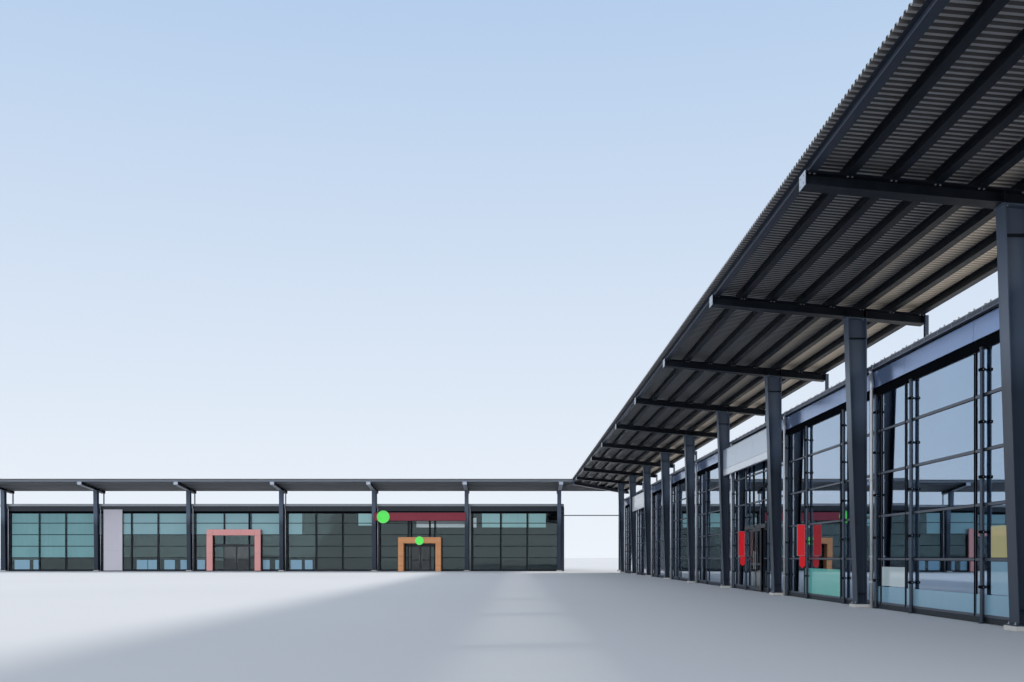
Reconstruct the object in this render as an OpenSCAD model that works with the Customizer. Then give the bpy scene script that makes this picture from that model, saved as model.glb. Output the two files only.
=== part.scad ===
// Retail building with a supermarket: two single-storey wings that meet at a right
// angle, under one steel canopy whose roof is mitred over the open passage between them.
// Scale model 1:10, so 100 mm here are 1 m on the real building.

/* [Plan] */
// Spacing of the columns along both wings
bay = 800; // [760:10:860]
// Whole bays of the side wing
side_bays = 9; // [7:1:9]
// Whole bays of the back wing
back_bays = 6; // [5:1:7]
// From the crossing of the two column lines to the side wing's first column
side_first = 880; // [700:10:1000]
// From the crossing of the two column lines to the back wing's first column
back_first = 437; // [400:1:600]
// From the column line to the outer face of the glass
glass_u = 45; // [45:1:60]
// Clear depth of both halls behind the glass
hall_depth = 1600; // [1200:50:2000]
// Thickness of the end walls and rear walls
wall_t = 20; // [12:1:30]
// How far a hall reaches beyond its last column
hall_end = 40; // [34:1:60]
// Thickness of the floor slab that shows above the paving
floor_t = 4; // [3:0.5:8]

/* [Canopy] */
// Height of the rafters' underside at the column line
head_h = 694; // [650:1:730]
// Fall of the canopy towards the halls, in degrees
canopy_pitch = 5.2; // [3:0.1:7]
// From the column line to the rafters' front end
front_reach = 339; // [280:1:380]
// From the column line to the rafters' rear end
rear_reach = 170; // [120:1:200]
// Depth of the rafters
rafter_h = 23; // [18:1:34]
// Width of the flanges of rafters and columns
flange_w = 33; // [22:1:36]
// Thickness of the flanges of rafters and columns
flange_t = 1.8; // [1.2:0.1:2.6]
// Thickness of the webs of rafters and columns
web_t = 1.4; // [1:0.1:2.4]
// Depth of the purlins
purlin_h = 20; // [14:1:26]
// Width of the purlins
purlin_w = 14; // [8:0.5:18]
// Purlins behind the edge beam
purlins = 7; // [5:1:8]
// From the rafters' front end to the middle of the first purlin
first_purlin = 74; // [50:1:90]
// Depth of the ribbed roof sheet
sheet_h = 5; // [3:0.5:7]
// Overhang of the roof sheet past the front, the rear and the ends of the steel
sheet_over = 5; // [2:0.5:12]

/* [Columns] */
// Rear face of the columns from the column line
column_rear = 30; // [20:1:30]
// Depth of a column at its head
head_w = 46; // [36:1:60]
// Depth of a column at its foot
foot_w = 23; // [16:1:34]
// Thickness of the head and base plates
plate_t = 2; // [1:0.5:4]
// Height of the pale grout pads under the columns
pad_h = 8; // [4:1:14]
// How far a pad and a base plate reach beyond the column
pad_over = 6; // [3:0.5:10]
// Side of the square column under the mitre beam
corner_w = 22; // [14:1:30]
// From the crossing of the column lines to the corner column, both ways
corner_u = 95; // [70:1:120]
// Side of the ties between the rafters' rear ends and the hall roof
tie_w = 9; // [4:0.5:12]

/* [Halls] */
// Height of the top of the glass
glass_top = 506; // [470:1:520]
// Height of the plinth under the glass
plinth_h = 11; // [8:1:20]
// Distance between two transoms
row_h = 100; // [80:1:102]
// Height of the fascia's lower edge above the glass
fascia_gap = 15; // [8:1:26]
// Height of the fascia panels
fascia_h = 37; // [24:1:40]
// Thickness of the fascia panels
fascia_t = 4; // [2:0.5:4.5]
// Height of the eaves above the fascia's lower edge
eaves_over = 51; // [46:1:70]
// Depth of the steel frame behind the glass
frame_d = 12; // [8:1:20]
// Thickness of the glass
glass_t = 2; // [1:0.5:4]
// Width of the cover strips over the mullions
cap_w = 7; // [4:0.5:10]
// How far the cover strips stand proud of the glass
cap_t = 1.8; // [1:0.1:3]
// Thickness of the roof panels without their ribs
roof_t = 8; // [5:1:14]
// Height of the ribs on the roof panels
roof_rib_h = 3.5; // [2:0.5:6]
// Rise of the hall roofs from the eaves to the rear, in degrees
roof_pitch = 1.5; // [0.5:0.1:3]
// Width of the gutter
gutter_w = 9; // [7:0.5:9]
// Height of the gutter
gutter_h = 9; // [6:0.5:12]
// Diameter of the downpipes
pipe_d = 8; // [6:0.5:9]
// Diameter of the slender posts in front of the glass
post_d = 8; // [5:0.5:8.5]

/* [Entrances] */
// Height of the door openings
door_h = 220; // [200:1:230]
// Half the width of the openings of the market and the shop
door_half = 80; // [60:1:84]
// Half the width of the opening behind the painted portal
wide_half = 108; // [80:1:110]
// Thickness of a door leaf
leaf_t = 3; // [2:0.5:4]
// Width of a leaf's frame
leaf_frame = 7; // [4:0.5:12]
// Width of the timber portal
timber_w = 366; // [340:1:400]
// Height of the timber portal
timber_h = 292; // [276:1:320]
// Width of the timber portal's legs
timber_leg = 46; // [36:1:50]
// Depth of the timber portal
timber_d = 100; // [60:1:120]
// Width of the painted portal
painted_w = 466; // [440:1:500]
// Height of the painted portal
painted_h = 360; // [320:1:400]
// Width of the painted portal's legs
painted_leg = 51; // [40:1:60]
// Depth of the painted portal
painted_d = 22; // [12:1:90]

/* [Signs] */
// Height of the lower edge of the sign boards between the columns
board_z = 438; // [400:1:450]
// Height of the sign boards between the columns
board_h = 102; // [60:1:120]
// Height of the lower edge of the market's sign band
band_z = 433; // [400:1:450]
// Height of the market's sign band
band_h = 74; // [50:1:90]
// Diameter of the round sign on the band
disc_d = 110; // [70:1:112]
// Diameter of the round sign on the timber portal
small_disc_d = 74; // [40:1:80]
// Width of the tall sign panel
panel_w = 165; // [120:1:200]
// Height of the tall sign panel
panel_h = 535; // [450:1:545]
// From the back wing's sixth column to the middle of the tall sign panel
panel_off = 137; // [125:1:160]

/* [Hidden] */
$fn = 24;

// Small clearances between pieces that are set against each other
seat = 0.3;
hair = 0.2;
overlap = 0.5;
far = 12000;

// Heights that follow from the sizes above
fascia_z = glass_top + fascia_gap;
eaves_z = fascia_z + eaves_over;
slope = tan(canopy_pitch);
function under(u) = head_h - slope * u;
function purlin_foot(u) = under(u) + rafter_h;
function sheet_foot(u) = purlin_foot(u) + purlin_h / cos(canopy_pitch);

// Places across a wing, measured from the column line towards the hall
frame_rear = glass_u + glass_t + frame_d;
rear_wall_u = frame_rear + hall_depth;
rear_face = rear_wall_u + wall_t + 6;
cap_u = glass_u - cap_t - hair;
fascia_u = glass_u - fascia_t - hair;
post_u = cap_u - 0.4 - post_d / 2;
roof_u = fascia_u - 0.5;
gutter_u = roof_u - seat - gutter_w;
skin_u = gutter_u + 3;
leaf_u = cap_u - 7 - leaf_t;
portal_rear = leaf_u - 5;
pipe_u = column_rear + 2.5;
purlin_u0 = -front_reach + first_purlin;
purlin_step = (rear_reach - purlin_w / 2 - purlin_u0) / (purlins - 1);
function purlin_u(i) = purlin_u0 + (i - 1) * purlin_step;
edge_beam_u = -front_reach + 5 + purlin_w / 2;

// Places along a wing, measured from the crossing of the column lines
function column_at(first, i) = first + i * bay;
function wing_end(first, n) = first + n * bay;
function columns(first, n) = [for (i = [0 : n]) column_at(first, i)];
// Mullions stand at these distances to the right of a column, seen from outside
side_offsets = [73, 227, 571];
back_offsets = [bay * 0.065, bay * 0.36375, bay * 0.65125];
side_mullions = [for (i = [0 : side_bays - 1], o = side_offsets) column_at(side_first, i) + o];
back_mullions = [for (i = [0 : back_bays - 1], o = back_offsets) column_at(back_first, i + 1) - o];

// The slender posts stand beside the mullions
side_post_offsets = [53, 272, 612];
back_post_offsets = [back_offsets[0] - 10, back_offsets[1] + 8, back_offsets[2] + 8];
side_posts = [for (i = [0 : side_bays - 1], o = side_post_offsets) column_at(side_first, i) + o];
back_posts = [for (i = [0 : back_bays - 1], o = back_post_offsets) column_at(back_first, i + 1) - o];

// Entrances: place along the wing, half the width of the opening, and the height above
// which the slender posts go on
market_d = column_at(back_first, 1) + bay / 2;
wide_door_d = column_at(back_first, 4) - (back_offsets[1] + back_offsets[2]) / 2;
painted_at = wide_door_d + 19;
shop_d = column_at(side_first, 5) + (side_post_offsets[1] + side_post_offsets[2]) / 2;
side_doors = [[shop_d, door_half - 4, door_h + 20]];
back_doors = [[market_d, door_half, timber_h + 2], [wide_door_d, wide_half, painted_h + 2]];
leaf_lap = 4;

// From the tip of a column's rear flange to the middle of the downpipe beside it
side_pipe_gap = 25;
back_pipe_gap = 12;

// Depths of the transoms and of the strip along the top of the glass
transom_h = 5;
top_strip_h = 7;

// From the top of the glass to the middle of the first transom, and the transoms' heights
top_row_h = 90;
function transom_z(i) = glass_top - top_row_h - i * row_h;

// Bracket heights on the slender posts, in the middle of each row, and on the downpipes
clamp_z = concat([glass_top - top_row_h / 2], [for (i = [0 : 3]) transom_z(i) - row_h / 2]);
pipe_bracket_z = [120, 300, 480];

// The origin is on the ground, in the middle of the whole plan
x_low = -(wing_end(back_first, back_bays) + hall_end + sheet_over);
y_low = -(wing_end(side_first, side_bays) + hall_end + sheet_over);
centre = [(x_low + rear_face) / 2, (y_low + rear_face) / 2, 0];

// Wing frames: x runs from the column line into the hall, y along the wing from the corner
module in_side_wing() translate(-centre) mirror([0, 1, 0]) children();
module in_back_wing() translate(-centre) rotate([0, 0, 90]) children();

// A box from its lowest to its highest corner
module block(low, high) translate(low) cube(high - low);

// An outline across the wing, drawn in x and height, carried along the wing
module along(from, to) translate([0, to, 0]) rotate([90, 0, 0]) linear_extrude(to - from) children();

// The wedge of plan beyond the mitre line, kept clear by half the gap between the wings
module beyond_mitre(gap) linear_extrude(head_h * 2)
    polygon([[-far, far + gap], [far, -far + gap], [-far, -far]]);

// An upright I or channel outline that starts at x = 0
module i_outline(w, h, t, web) {
    translate([-w / 2, 0]) square([w, t]);
    translate([-w / 2, h - t]) square([w, t]);
    translate([-web / 2, 0]) square([web, h]);
}

module floor_slab(first, n)
    block([frame_rear + hair, first - hall_end + wall_t + hair, 0],
          [rear_wall_u - hair, wing_end(first, n) + hall_end - wall_t - hair, floor_t]);

function roof_under(u) = eaves_z - roof_t + (u - skin_u) * tan(roof_pitch);

module rear_wall(first, n)
    block([rear_wall_u, first - hall_end, 0],
          [rear_wall_u + wall_t, wing_end(first, n) + hall_end, roof_under(rear_wall_u) - hair]);

module end_walls(first, n)
    for (d = [first - hall_end, wing_end(first, n) + hall_end - wall_t])
        along(d, d + wall_t)
            polygon([
                [glass_u, 0], [rear_wall_u - hair, 0],
                [rear_wall_u - hair, roof_under(rear_wall_u) - hair], [glass_u, roof_under(glass_u) - hair]
            ]);

// Ribbed top skin over insulated panels, rising towards the rear
module hall_roof(first, n) {
    from = first - hall_end;
    to = wing_end(first, n) + hall_end;
    pitch = bay / 12;
    ribs = floor((to - from) / pitch) - 1;
    start = first - pitch / 2;
    rib = [[-4, 1], [-2.5, 1 + roof_rib_h], [2.5, 1 + roof_rib_h], [4, 1]];
    top = [for (i = [0 : ribs], p = rib) [start + i * pitch + p[0], p[1]]];
    color("#9a9a9c") intersection() {
        block([skin_u, from, 0], [rear_face, to, head_h * 2]);
        translate([skin_u, 0, eaves_z]) rotate([0, -roof_pitch, 0]) {
            translate([-10, 0, 0]) rotate([90, 0, 90]) linear_extrude(hall_depth * 1.5)
                polygon(concat([[from, 0], [from, 1]], top, [[to, 1], [to, 0]]));
            translate([roof_u - skin_u, from, -roof_t])
                cube([hall_depth * 1.5, to - from, roof_t + overlap]);
        }
    }
}

// Stretches of the front between the doorways, and over them, as [from, to, foot]
function stretch_ends(first, n, doors) = concat(
    [first - hall_end + wall_t + hair],
    [for (door = doors, s = [-1, 1]) door[0] + s * door[1]],
    [wing_end(first, n) + hall_end - wall_t - hair]);
function stretches(first, n, doors) =
    let (ends = stretch_ends(first, n, doors))
    [for (i = [0 : len(ends) - 2])
        [ends[i] + hair, ends[i + 1] - hair, i % 2 == 0 ? plinth_h + hair : door_h + hair]];

// Low plinth under the glass, with a threshold level with the floor in each doorway
module plinth(first, n, doors)
    let (ends = stretch_ends(first, n, doors))
    for (i = [0 : len(ends) - 2])
        block([cap_u, ends[i] + hair, 0],
              [frame_rear, ends[i + 1] - hair, i % 2 == 0 ? plinth_h : floor_t]);

module glass_front(first, n, doors) color("#8fb0bd")
    for (s = stretches(first, n, doors))
        block([glass_u, s[0], s[2]], [glass_u + glass_t, s[1], glass_top - hair]);

// Cover strips on the outside of the glass: mullions, transoms and the edge round each stretch
module cover_strips(first, n, doors, mullions) color("#2b323b")
    for (s = stretches(first, n, doors)) {
        uprights = concat(
            [s[0] + cap_w / 2, s[1] - cap_w / 2],
            [for (m = concat(mullions, columns(first, n))) if (m > s[0] + cap_w && m < s[1] - cap_w) m]);
        for (m = uprights)
            block([cap_u, m - cap_w / 2, s[2]], [cap_u + cap_t, m + cap_w / 2, glass_top - hair]);
        block([cap_u, s[0], glass_top - top_strip_h], [cap_u + cap_t, s[1], glass_top - hair]);
        for (z = concat([s[2]], [for (i = [0 : 3]) transom_z(i) - transom_h / 2]))
            if (z >= s[2])
                block([cap_u, s[0], z], [cap_u + cap_t, s[1], z + transom_h]);
    }

// Steel mullions behind the glass, with a pair of jambs and a head at each doorway
module front_frame(first, n, doors, mullions) {
    jambs = [for (door = doors, s = [-1, 1]) door[0] + s * (door[1] + 4)];
    clear = [for (m = concat(mullions, columns(first, n)))
        if (min([for (j = jambs) abs(j - m)]) > 8) m];
    for (m = concat(clear, jambs))
        block([glass_u + glass_t + hair, m - 3, plinth_h + hair], [frame_rear - hair, m + 3, glass_top - hair]);
    for (door = doors)
        block([glass_u + glass_t + hair, door[0] - door[1] - 1 + hair, door_h],
              [frame_rear - hair, door[0] + door[1] + 1 - hair, door_h + 8]);
}

// Slender round outer posts, each with a foot plate and clamps that reach back to the glass;
// those in a leaf's path start above the entrance
module slender_posts(places, doors)
    for (m = places) {
        starts = [for (door = doors) if (abs(door[0] - m) < 2 * door[1] + leaf_lap + 7) door[2]];
        foot = len(starts) > 0 ? starts[0] : 0;
        translate([post_u, m, foot]) cylinder(d = post_d, h = glass_top - 4 - foot);
        if (foot == 0) block([post_u - post_d / 2 - 1, m - post_d / 2 - 1, 0], [cap_u - hair, m + post_d / 2 + 1, 2]);
        on_strip = min([for (door = doors) abs(abs(door[0] - m) - door[1])]) < 10;
        for (z = clamp_z)
            if (z - 3 > foot) {
                block([post_u - post_d / 2 + 1, m - post_d / 2 - 0.6, z - 2],
                      [cap_u - hair, m + post_d / 2 + 0.6, z + 2]);
                if (!on_strip)
                    block([cap_u - hair - overlap, m - 2, z - 1.5], [glass_u - hair, m + 2, z + 1.5]);
            }
    }

// Beam over the glass, behind the fascia
module eaves_beam(first, n)
    block([glass_u, first - hall_end + wall_t + hair, glass_top],
          [frame_rear, wing_end(first, n) + hall_end - wall_t - hair, roof_under(glass_u) - hair]);

// Fascia panels, with open joints at each column and at two mullions in each bay
module fascia(first, n, splits) color("#6f87b0") {
    joints = concat(
        [first - hall_end],
        [for (i = [0 : n - 1], s = concat([0], splits)) column_at(first, i) + s],
        [wing_end(first, n), wing_end(first, n) + hall_end]);
    for (k = [0 : len(joints) - 2])
        block([fascia_u, joints[k] + 0.4, fascia_z],
              [fascia_u + fascia_t, joints[k + 1] - 0.4, fascia_z + fascia_h]);
}

module gutter(first, n) difference() {
    block([gutter_u, first - hall_end, eaves_z - gutter_h - seat],
          [gutter_u + gutter_w, wing_end(first, n) + hall_end, eaves_z - seat]);
    block([gutter_u + 1, first - hall_end + 1, eaves_z - gutter_h - seat + 1],
          [gutter_u + gutter_w - 1, wing_end(first, n) + hall_end - 1, eaves_z]);
}

// Downpipe beside a column: standpipe, pipe, swan neck and a spigot under the gutter, with
// brackets to the tip of the column's rear flange; way is +1 or -1 along the wing
module downpipe(column, gap, way) {
    gutter_foot = eaves_z - gutter_h - seat;
    bend = gutter_foot - 7;
    neck = bend - 9;
    out = gutter_u + gutter_w / 2 - pipe_u;
    translate([pipe_u, column + way * (flange_w / 2 + gap), 0]) {
        cylinder(d = pipe_d + 1.6, h = 62);
        translate([0, 0, 3]) cylinder(d = pipe_d, h = neck - 3);
        translate([0, 0, neck]) sphere(d = pipe_d + 1);
        translate([0, 0, neck]) rotate([0, atan2(out, bend - neck), 0])
            cylinder(d = pipe_d, h = norm([out, bend - neck]));
        translate([out, 0, bend]) sphere(d = pipe_d + 1);
        translate([out, 0, bend]) cylinder(d = pipe_d, h = gutter_foot - seat - bend);
        for (z = pipe_bracket_z)
            block([column_rear - pipe_u - 2, min(0, way * (seat - gap)), z],
                  [column_rear - pipe_u, max(0, way * (seat - gap)), z + 4]);
    }
}

// Tapered column: upright rear flange, front flange leaning out, web between, plates at both ends
module canopy_columns(first, n) color("#323b47")
    for (d = columns(first, n)) {
        foot_z = pad_h + plate_t;
        foot_u = column_rear - foot_w;
        head_u = column_rear - head_w;
        lean = flange_t * 1.01;
        along(d - flange_w / 2, d + flange_w / 2) {
            polygon([
                [foot_u, foot_z - overlap], [foot_u + lean, foot_z - overlap],
                [head_u + lean, under(head_u) - plate_t + hair], [head_u, under(head_u) - plate_t + hair]
            ]);
            polygon([
                [column_rear - flange_t, foot_z - overlap], [column_rear, foot_z - overlap],
                [column_rear, under(column_rear) - plate_t],
                [column_rear - flange_t, under(column_rear) - plate_t]
            ]);
            polygon([
                [head_u - 3, under(head_u - 3) - plate_t - hair],
                [column_rear + 3, under(column_rear + 3) - plate_t - hair],
                [column_rear + 3, under(column_rear + 3) - hair],
                [head_u - 3, under(head_u - 3) - hair]
            ]);
        }
        along(d - web_t / 2, d + web_t / 2)
            polygon([
                [foot_u + 0.5, foot_z - overlap], [column_rear - 0.5, foot_z - overlap],
                [column_rear - 0.5, under(column_rear) - plate_t], [head_u + 0.5, under(head_u) - plate_t]
            ]);
        block([foot_u - pad_over, d - flange_w / 2 - pad_over / 2, pad_h],
              [column_rear + pad_over - 1, d + flange_w / 2 + pad_over / 2, foot_z]);
    }

module pads(first, n) color("#b9b6b1")
    for (d = columns(first, n))
        block([column_rear - foot_w - pad_over - 1, d - flange_w / 2 - pad_over, 0],
              [column_rear + pad_over, d + flange_w / 2 + pad_over, pad_h - hair]);

// Side view of a rafter between two places across the wing, drawn inwards by an inset, and
// stretched by a factor on a diagonal
function rafter_outline(from, to, stretch, inset) =
    let (a = from * stretch + inset, b = to * stretch - inset)
    [for (p = [[a, inset], [b, inset], [b, rafter_h - inset], [a, rafter_h - inset]])
        [p[0], under(p[0] / stretch) + p[1]]];

// I-section rafter with a plate at each end
module rafter(from, to, stretch) {
    along(-flange_w / 2, flange_w / 2) difference() {
        polygon(rafter_outline(from, to, stretch, 0));
        polygon(rafter_outline(from, to, stretch, flange_t));
    }
    along(-web_t / 2, web_t / 2)
        polygon(rafter_outline(from, to, stretch, flange_t - overlap));
}

module canopy_rafters(first, n) color("#2c3540")
    for (d = columns(first, n)) translate([0, d, 0]) {
        rafter(-front_reach, rear_reach, 1);
        for (u = [column_rear - head_w, column_rear - flange_t])
            block([u, -flange_w / 2 + 1, under(u) + overlap],
                  [u + flange_t, flange_w / 2 - 1, under(u + flange_t) + rafter_h - overlap]);
    }

// I-section beam on the rafters at one place across the wing, mitred at the corner
module roof_beam(u, first, n) difference() {
    along(-rear_reach - purlin_w, wing_end(first, n) + hall_end)
        translate([u, purlin_foot(u) + hair]) rotate(-canopy_pitch)
            i_outline(purlin_w, purlin_h - 2 * hair, 1.3, 1.1);
    beyond_mitre(seat);
}

module canopy_purlins(first, n) color("#262d36")
    for (i = [1 : purlins]) roof_beam(purlin_u(i), first, n);

// Roof sheet of the canopy, mitred at the corner
module canopy_sheet(first, n) color("#7c7d80") difference() {
    front = -front_reach - sheet_over;
    rear = rear_reach + sheet_over;
    along(-rear_reach - 2 * sheet_over, wing_end(first, n) + hall_end + sheet_over)
        polygon([
            [front, sheet_foot(front) + hair], [rear, sheet_foot(rear) + hair],
            [rear, sheet_foot(rear) + hair + sheet_h], [front, sheet_foot(front) + hair + sheet_h]
        ]);
    beyond_mitre(seat);
}

// Upright ties between the rafters' rear ends and the hall roof, on lugs behind the end plates
module ties(first, n)
    for (d = columns(first, n)) {
        u = rear_reach + seat + 3;
        head = under(rear_reach) + rafter_h;
        foot = roof_under(u + tie_w) + roof_t + 1 + hair;
        block([u, d - tie_w / 2, foot], [u + tie_w, d + tie_w / 2, head]);
        block([rear_reach + seat, d - tie_w / 2 - 2, head - 16], [u + overlap, d + tie_w / 2 + 2, head - 4]);
        block([u - 3, d - tie_w, foot], [u + tie_w + 3, d + tie_w, foot + 1]);
    }

// Rafter on the mitre line, from the front corner to the rear corner, let down so that
// the edges of its flange clear the purlins that cross it askew
mitre_drop = slope * flange_w / (2 * sqrt(2)) + hair;
module mitre_beam() color("#59636f") translate(-centre) translate([0, 0, -mitre_drop]) rotate([0, 0, 45])
    rafter(-front_reach + 1, rear_reach, sqrt(2));

module corner_column() color("#323b47") translate(-centre) {
    half = corner_w / 2;
    top = under(corner_u + half) - mitre_drop - seat;
    block([corner_u - half, corner_u - half, pad_h], [corner_u + half, corner_u + half, top]);
}

module column_pads() {
    in_side_wing() pads(side_first, side_bays);
    in_back_wing() pads(back_first, back_bays);
    color("#b9b6b1") translate(-centre)
        block([corner_u - corner_w, corner_u - corner_w, 0],
              [corner_u + corner_w, corner_u + corner_w, pad_h - hair]);
}

// Tube across the passage, from the back wing's end wall to the corner column
module passage_tie() color("#59636f") translate(-centre)
    translate([-back_first + hall_end + seat, corner_u, band_z + band_h / 2 + 15]) rotate([0, 90, 0])
        cylinder(d = 8, h = back_first - hall_end + corner_u - corner_w / 2 - 2 * seat);

// A portal of two legs and a lintel that rests on them and reaches back to the front
module portal(d, w, h, leg, head, depth) {
    for (s = [-1, 1])
        let (a = d + s * w / 2, b = d + s * (w / 2 - leg))
        block([portal_rear - depth, min(a, b), 0], [portal_rear, max(a, b), h - head - hair]);
    block([portal_rear - depth, d - w / 2, h - head], [cap_u - hair, d + w / 2, h]);
}

module timber_portal() color("#c08558") in_back_wing()
    portal(market_d, timber_w, timber_h, timber_leg, 52, timber_d);

module painted_portal() color("#dc9a98") in_back_wing()
    portal(painted_at, painted_w, painted_h, painted_leg, 51, painted_d);

// Housing of the sliding gear over a doorway, as wide as the leaves reach when open
module header(door) {
    reach = 2 * door[1] + leaf_lap + 2;
    block([leaf_u - 2, door[0] - reach, door_h], [cap_u - hair, door[0] + reach, door_h + 14]);
}

module door_headers() color("#232a33") {
    in_side_wing() for (door = side_doors) header(door);
    in_back_wing() for (door = back_doors) header(door);
}

// Sliding leaf on one side of a doorway: frame, middle rail and pane
module leaf(door, s) {
    a = door[0] + s * 0.5;
    b = door[0] + s * (door[1] + leaf_lap);
    low = min(a, b);
    high = max(a, b);
    foot = floor_t + 1;
    difference() {
        block([leaf_u, low, foot], [leaf_u + leaf_t, high, door_h - seat]);
        for (z = [foot + leaf_frame, foot + 95])
            for (face = [leaf_u - 1, leaf_u + leaf_t - leaf_t / 3])
                block([face, low + leaf_frame, z],
                      [face + 1 + leaf_t / 3, high - leaf_frame,
                       z == foot + 95 ? door_h - seat - leaf_frame : foot + 95 - leaf_frame]);
    }
}

module market_leaf_left() color("#3a444f") in_back_wing() leaf(back_doors[0], 1);
module market_leaf_right() color("#3a444f") in_back_wing() leaf(back_doors[0], -1);
module painted_leaf_left() color("#3a444f") in_back_wing() leaf(back_doors[1], 1);
module painted_leaf_right() color("#3a444f") in_back_wing() leaf(back_doors[1], -1);
module shop_leaf_left() color("#3a444f") in_side_wing() leaf(side_doors[0], -1);
module shop_leaf_right() color("#3a444f") in_side_wing() leaf(side_doors[0], 1);

// Outer face of the columns at a height
function column_face(z) =
    let (foot_u = column_rear - foot_w, head_u = column_rear - head_w, foot_z = pad_h + plate_t - overlap)
    foot_u + (head_u - foot_u) * (z - foot_z) / (under(head_u) - plate_t + hair - foot_z);

// Sign band in front of the columns of the market's bay, on brackets from their flanges
band_t = 4;
band_u = column_face(band_z + band_h) - seat - band_t;
module market_sign_band() color("#6b2b33") in_back_wing() {
    from = column_at(back_first, 1) + 3;
    to = column_at(back_first, 2) - 3;
    block([band_u, from, band_z], [band_u + band_t, to, band_z + band_h]);
    for (d = [from + 6, to - 6], z = [band_z + 8, band_z + band_h - 20])
        block([band_u + band_t - overlap, d - 3, z], [column_face(z + 4) - seat, d + 3, z + 4]);
}

// Round sign boxes, the larger on the band and the smaller on the timber portal
module round_signs() color("#5fd35a") in_back_wing() {
    translate([band_u - seat - 5, column_at(back_first, 2) - 28 - disc_d / 2, band_z + band_h / 2 - 2])
        rotate([0, 90, 0]) cylinder(d = disc_d, h = 5, $fn = 64);
    translate([portal_rear - timber_d - seat - 4, market_d, timber_h - 30])
        rotate([0, 90, 0]) cylinder(d = small_disc_d, h = 4, $fn = 64);
}

// Boards between two columns, on bars that reach the webs
module sign_board(i) {
    from = column_at(side_first, i) + flange_w / 2 + 1;
    to = column_at(side_first, i + 1) - flange_w / 2 - 1;
    block([5, from, board_z], [13, to, board_z + board_h]);
    for (z = [board_z + 20, board_z + board_h - 24])
        block([7, column_at(side_first, i) + web_t / 2 + seat, z],
              [11, column_at(side_first, i + 1) - web_t / 2 - seat, z + 4]);
}

module shop_sign_boards() color("#c9d3de") in_side_wing() {
    sign_board(1);
    sign_board(5);
}

panel_t = 10;
panel_u = fascia_u - 2 - panel_t;
panel_cleat_z = [transom_z(3) - 2, transom_z(1) - 2, panel_h - 35];

// Tall panel on cleats in front of the glass, beside the back wing's sixth column
module sign_panel() color("#c3c1c8") in_back_wing() {
    d = column_at(back_first, 5) - panel_off;
    block([panel_u, d - panel_w / 2, 0], [panel_u + panel_t, d + panel_w / 2, panel_h]);
    for (z = panel_cleat_z, side = [-1, 1])
        block([panel_u + panel_t - overlap, d + side * panel_w / 3 - 2, z],
              [cap_u - hair, d + side * panel_w / 3 + 2, z + 4]);
}

// Narrow red signs that stand out from two of the slender posts
blade_z = 124;
blade_h = 92;
blade_w = 23;
module blade_signs() color("#c9242b") in_side_wing()
    for (i = [5, 6])
        let (d = column_at(side_first, i) + side_post_offsets[1], rear = post_u - post_d / 2 - seat)
        block([rear - blade_w, d - 0.7, blade_z], [rear, d + 0.7, blade_z + blade_h]);

module floors() color("#8d8b88") {
    in_side_wing() floor_slab(side_first, side_bays);
    in_back_wing() floor_slab(back_first, back_bays);
}

module side_walls() color("#5d6670") in_side_wing() {
    rear_wall(side_first, side_bays);
    end_walls(side_first, side_bays);
}

module back_walls() color("#5d6670") in_back_wing() {
    rear_wall(back_first, back_bays);
    end_walls(back_first, back_bays);
}

module side_roof() in_side_wing() hall_roof(side_first, side_bays);
module back_roof() in_back_wing() hall_roof(back_first, back_bays);

module plinths() color("#2b323b") {
    in_side_wing() plinth(side_first, side_bays, side_doors);
    in_back_wing() plinth(back_first, back_bays, back_doors);
}

module front_frames() color("#232a33") {
    in_side_wing() front_frame(side_first, side_bays, side_doors, side_mullions);
    in_back_wing() front_frame(back_first, back_bays, back_doors, back_mullions);
}

module side_glass() in_side_wing() glass_front(side_first, side_bays, side_doors);
module back_glass() in_back_wing() glass_front(back_first, back_bays, back_doors);
module side_cover_strips() in_side_wing() cover_strips(side_first, side_bays, side_doors, side_mullions);
module back_cover_strips() in_back_wing() cover_strips(back_first, back_bays, back_doors, back_mullions);

module front_posts() color("#39424d") {
    in_side_wing() slender_posts(side_posts, side_doors);
    in_back_wing() slender_posts(back_posts, back_doors);
}

module eaves_beams() color("#171c22") {
    in_side_wing() eaves_beam(side_first, side_bays);
    in_back_wing() eaves_beam(back_first, back_bays);
}

module side_fascia() in_side_wing() fascia(side_first, side_bays, [side_offsets[1], side_offsets[2]]);
module back_fascia() in_back_wing() fascia(back_first, back_bays, [back_offsets[1], back_offsets[2]]);

module gutters() color("#a8a6a6") {
    in_side_wing() gutter(side_first, side_bays);
    in_back_wing() gutter(back_first, back_bays);
}

module downpipes() color("#b4b0ae") {
    in_side_wing() for (i = [0 : side_bays - 1]) downpipe(column_at(side_first, i), side_pipe_gap, 1);
    in_back_wing() for (i = [1 : back_bays]) downpipe(column_at(back_first, i), back_pipe_gap, -1);
}

module side_columns() in_side_wing() canopy_columns(side_first, side_bays);
module back_columns() in_back_wing() canopy_columns(back_first, back_bays);
module side_rafters() in_side_wing() canopy_rafters(side_first, side_bays);
module back_rafters() in_back_wing() canopy_rafters(back_first, back_bays);
module side_purlins() in_side_wing() canopy_purlins(side_first, side_bays);
module back_purlins() in_back_wing() canopy_purlins(back_first, back_bays);

module edge_beams() color("#76839a") {
    in_side_wing() roof_beam(edge_beam_u, side_first, side_bays);
    in_back_wing() roof_beam(edge_beam_u, back_first, back_bays);
}

module side_canopy_sheet() in_side_wing() canopy_sheet(side_first, side_bays);
module back_canopy_sheet() in_back_wing() canopy_sheet(back_first, back_bays);

module canopy_ties() color("#39424d") {
    in_side_wing() ties(side_first, side_bays);
    in_back_wing() ties(back_first, back_bays);
}

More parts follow.
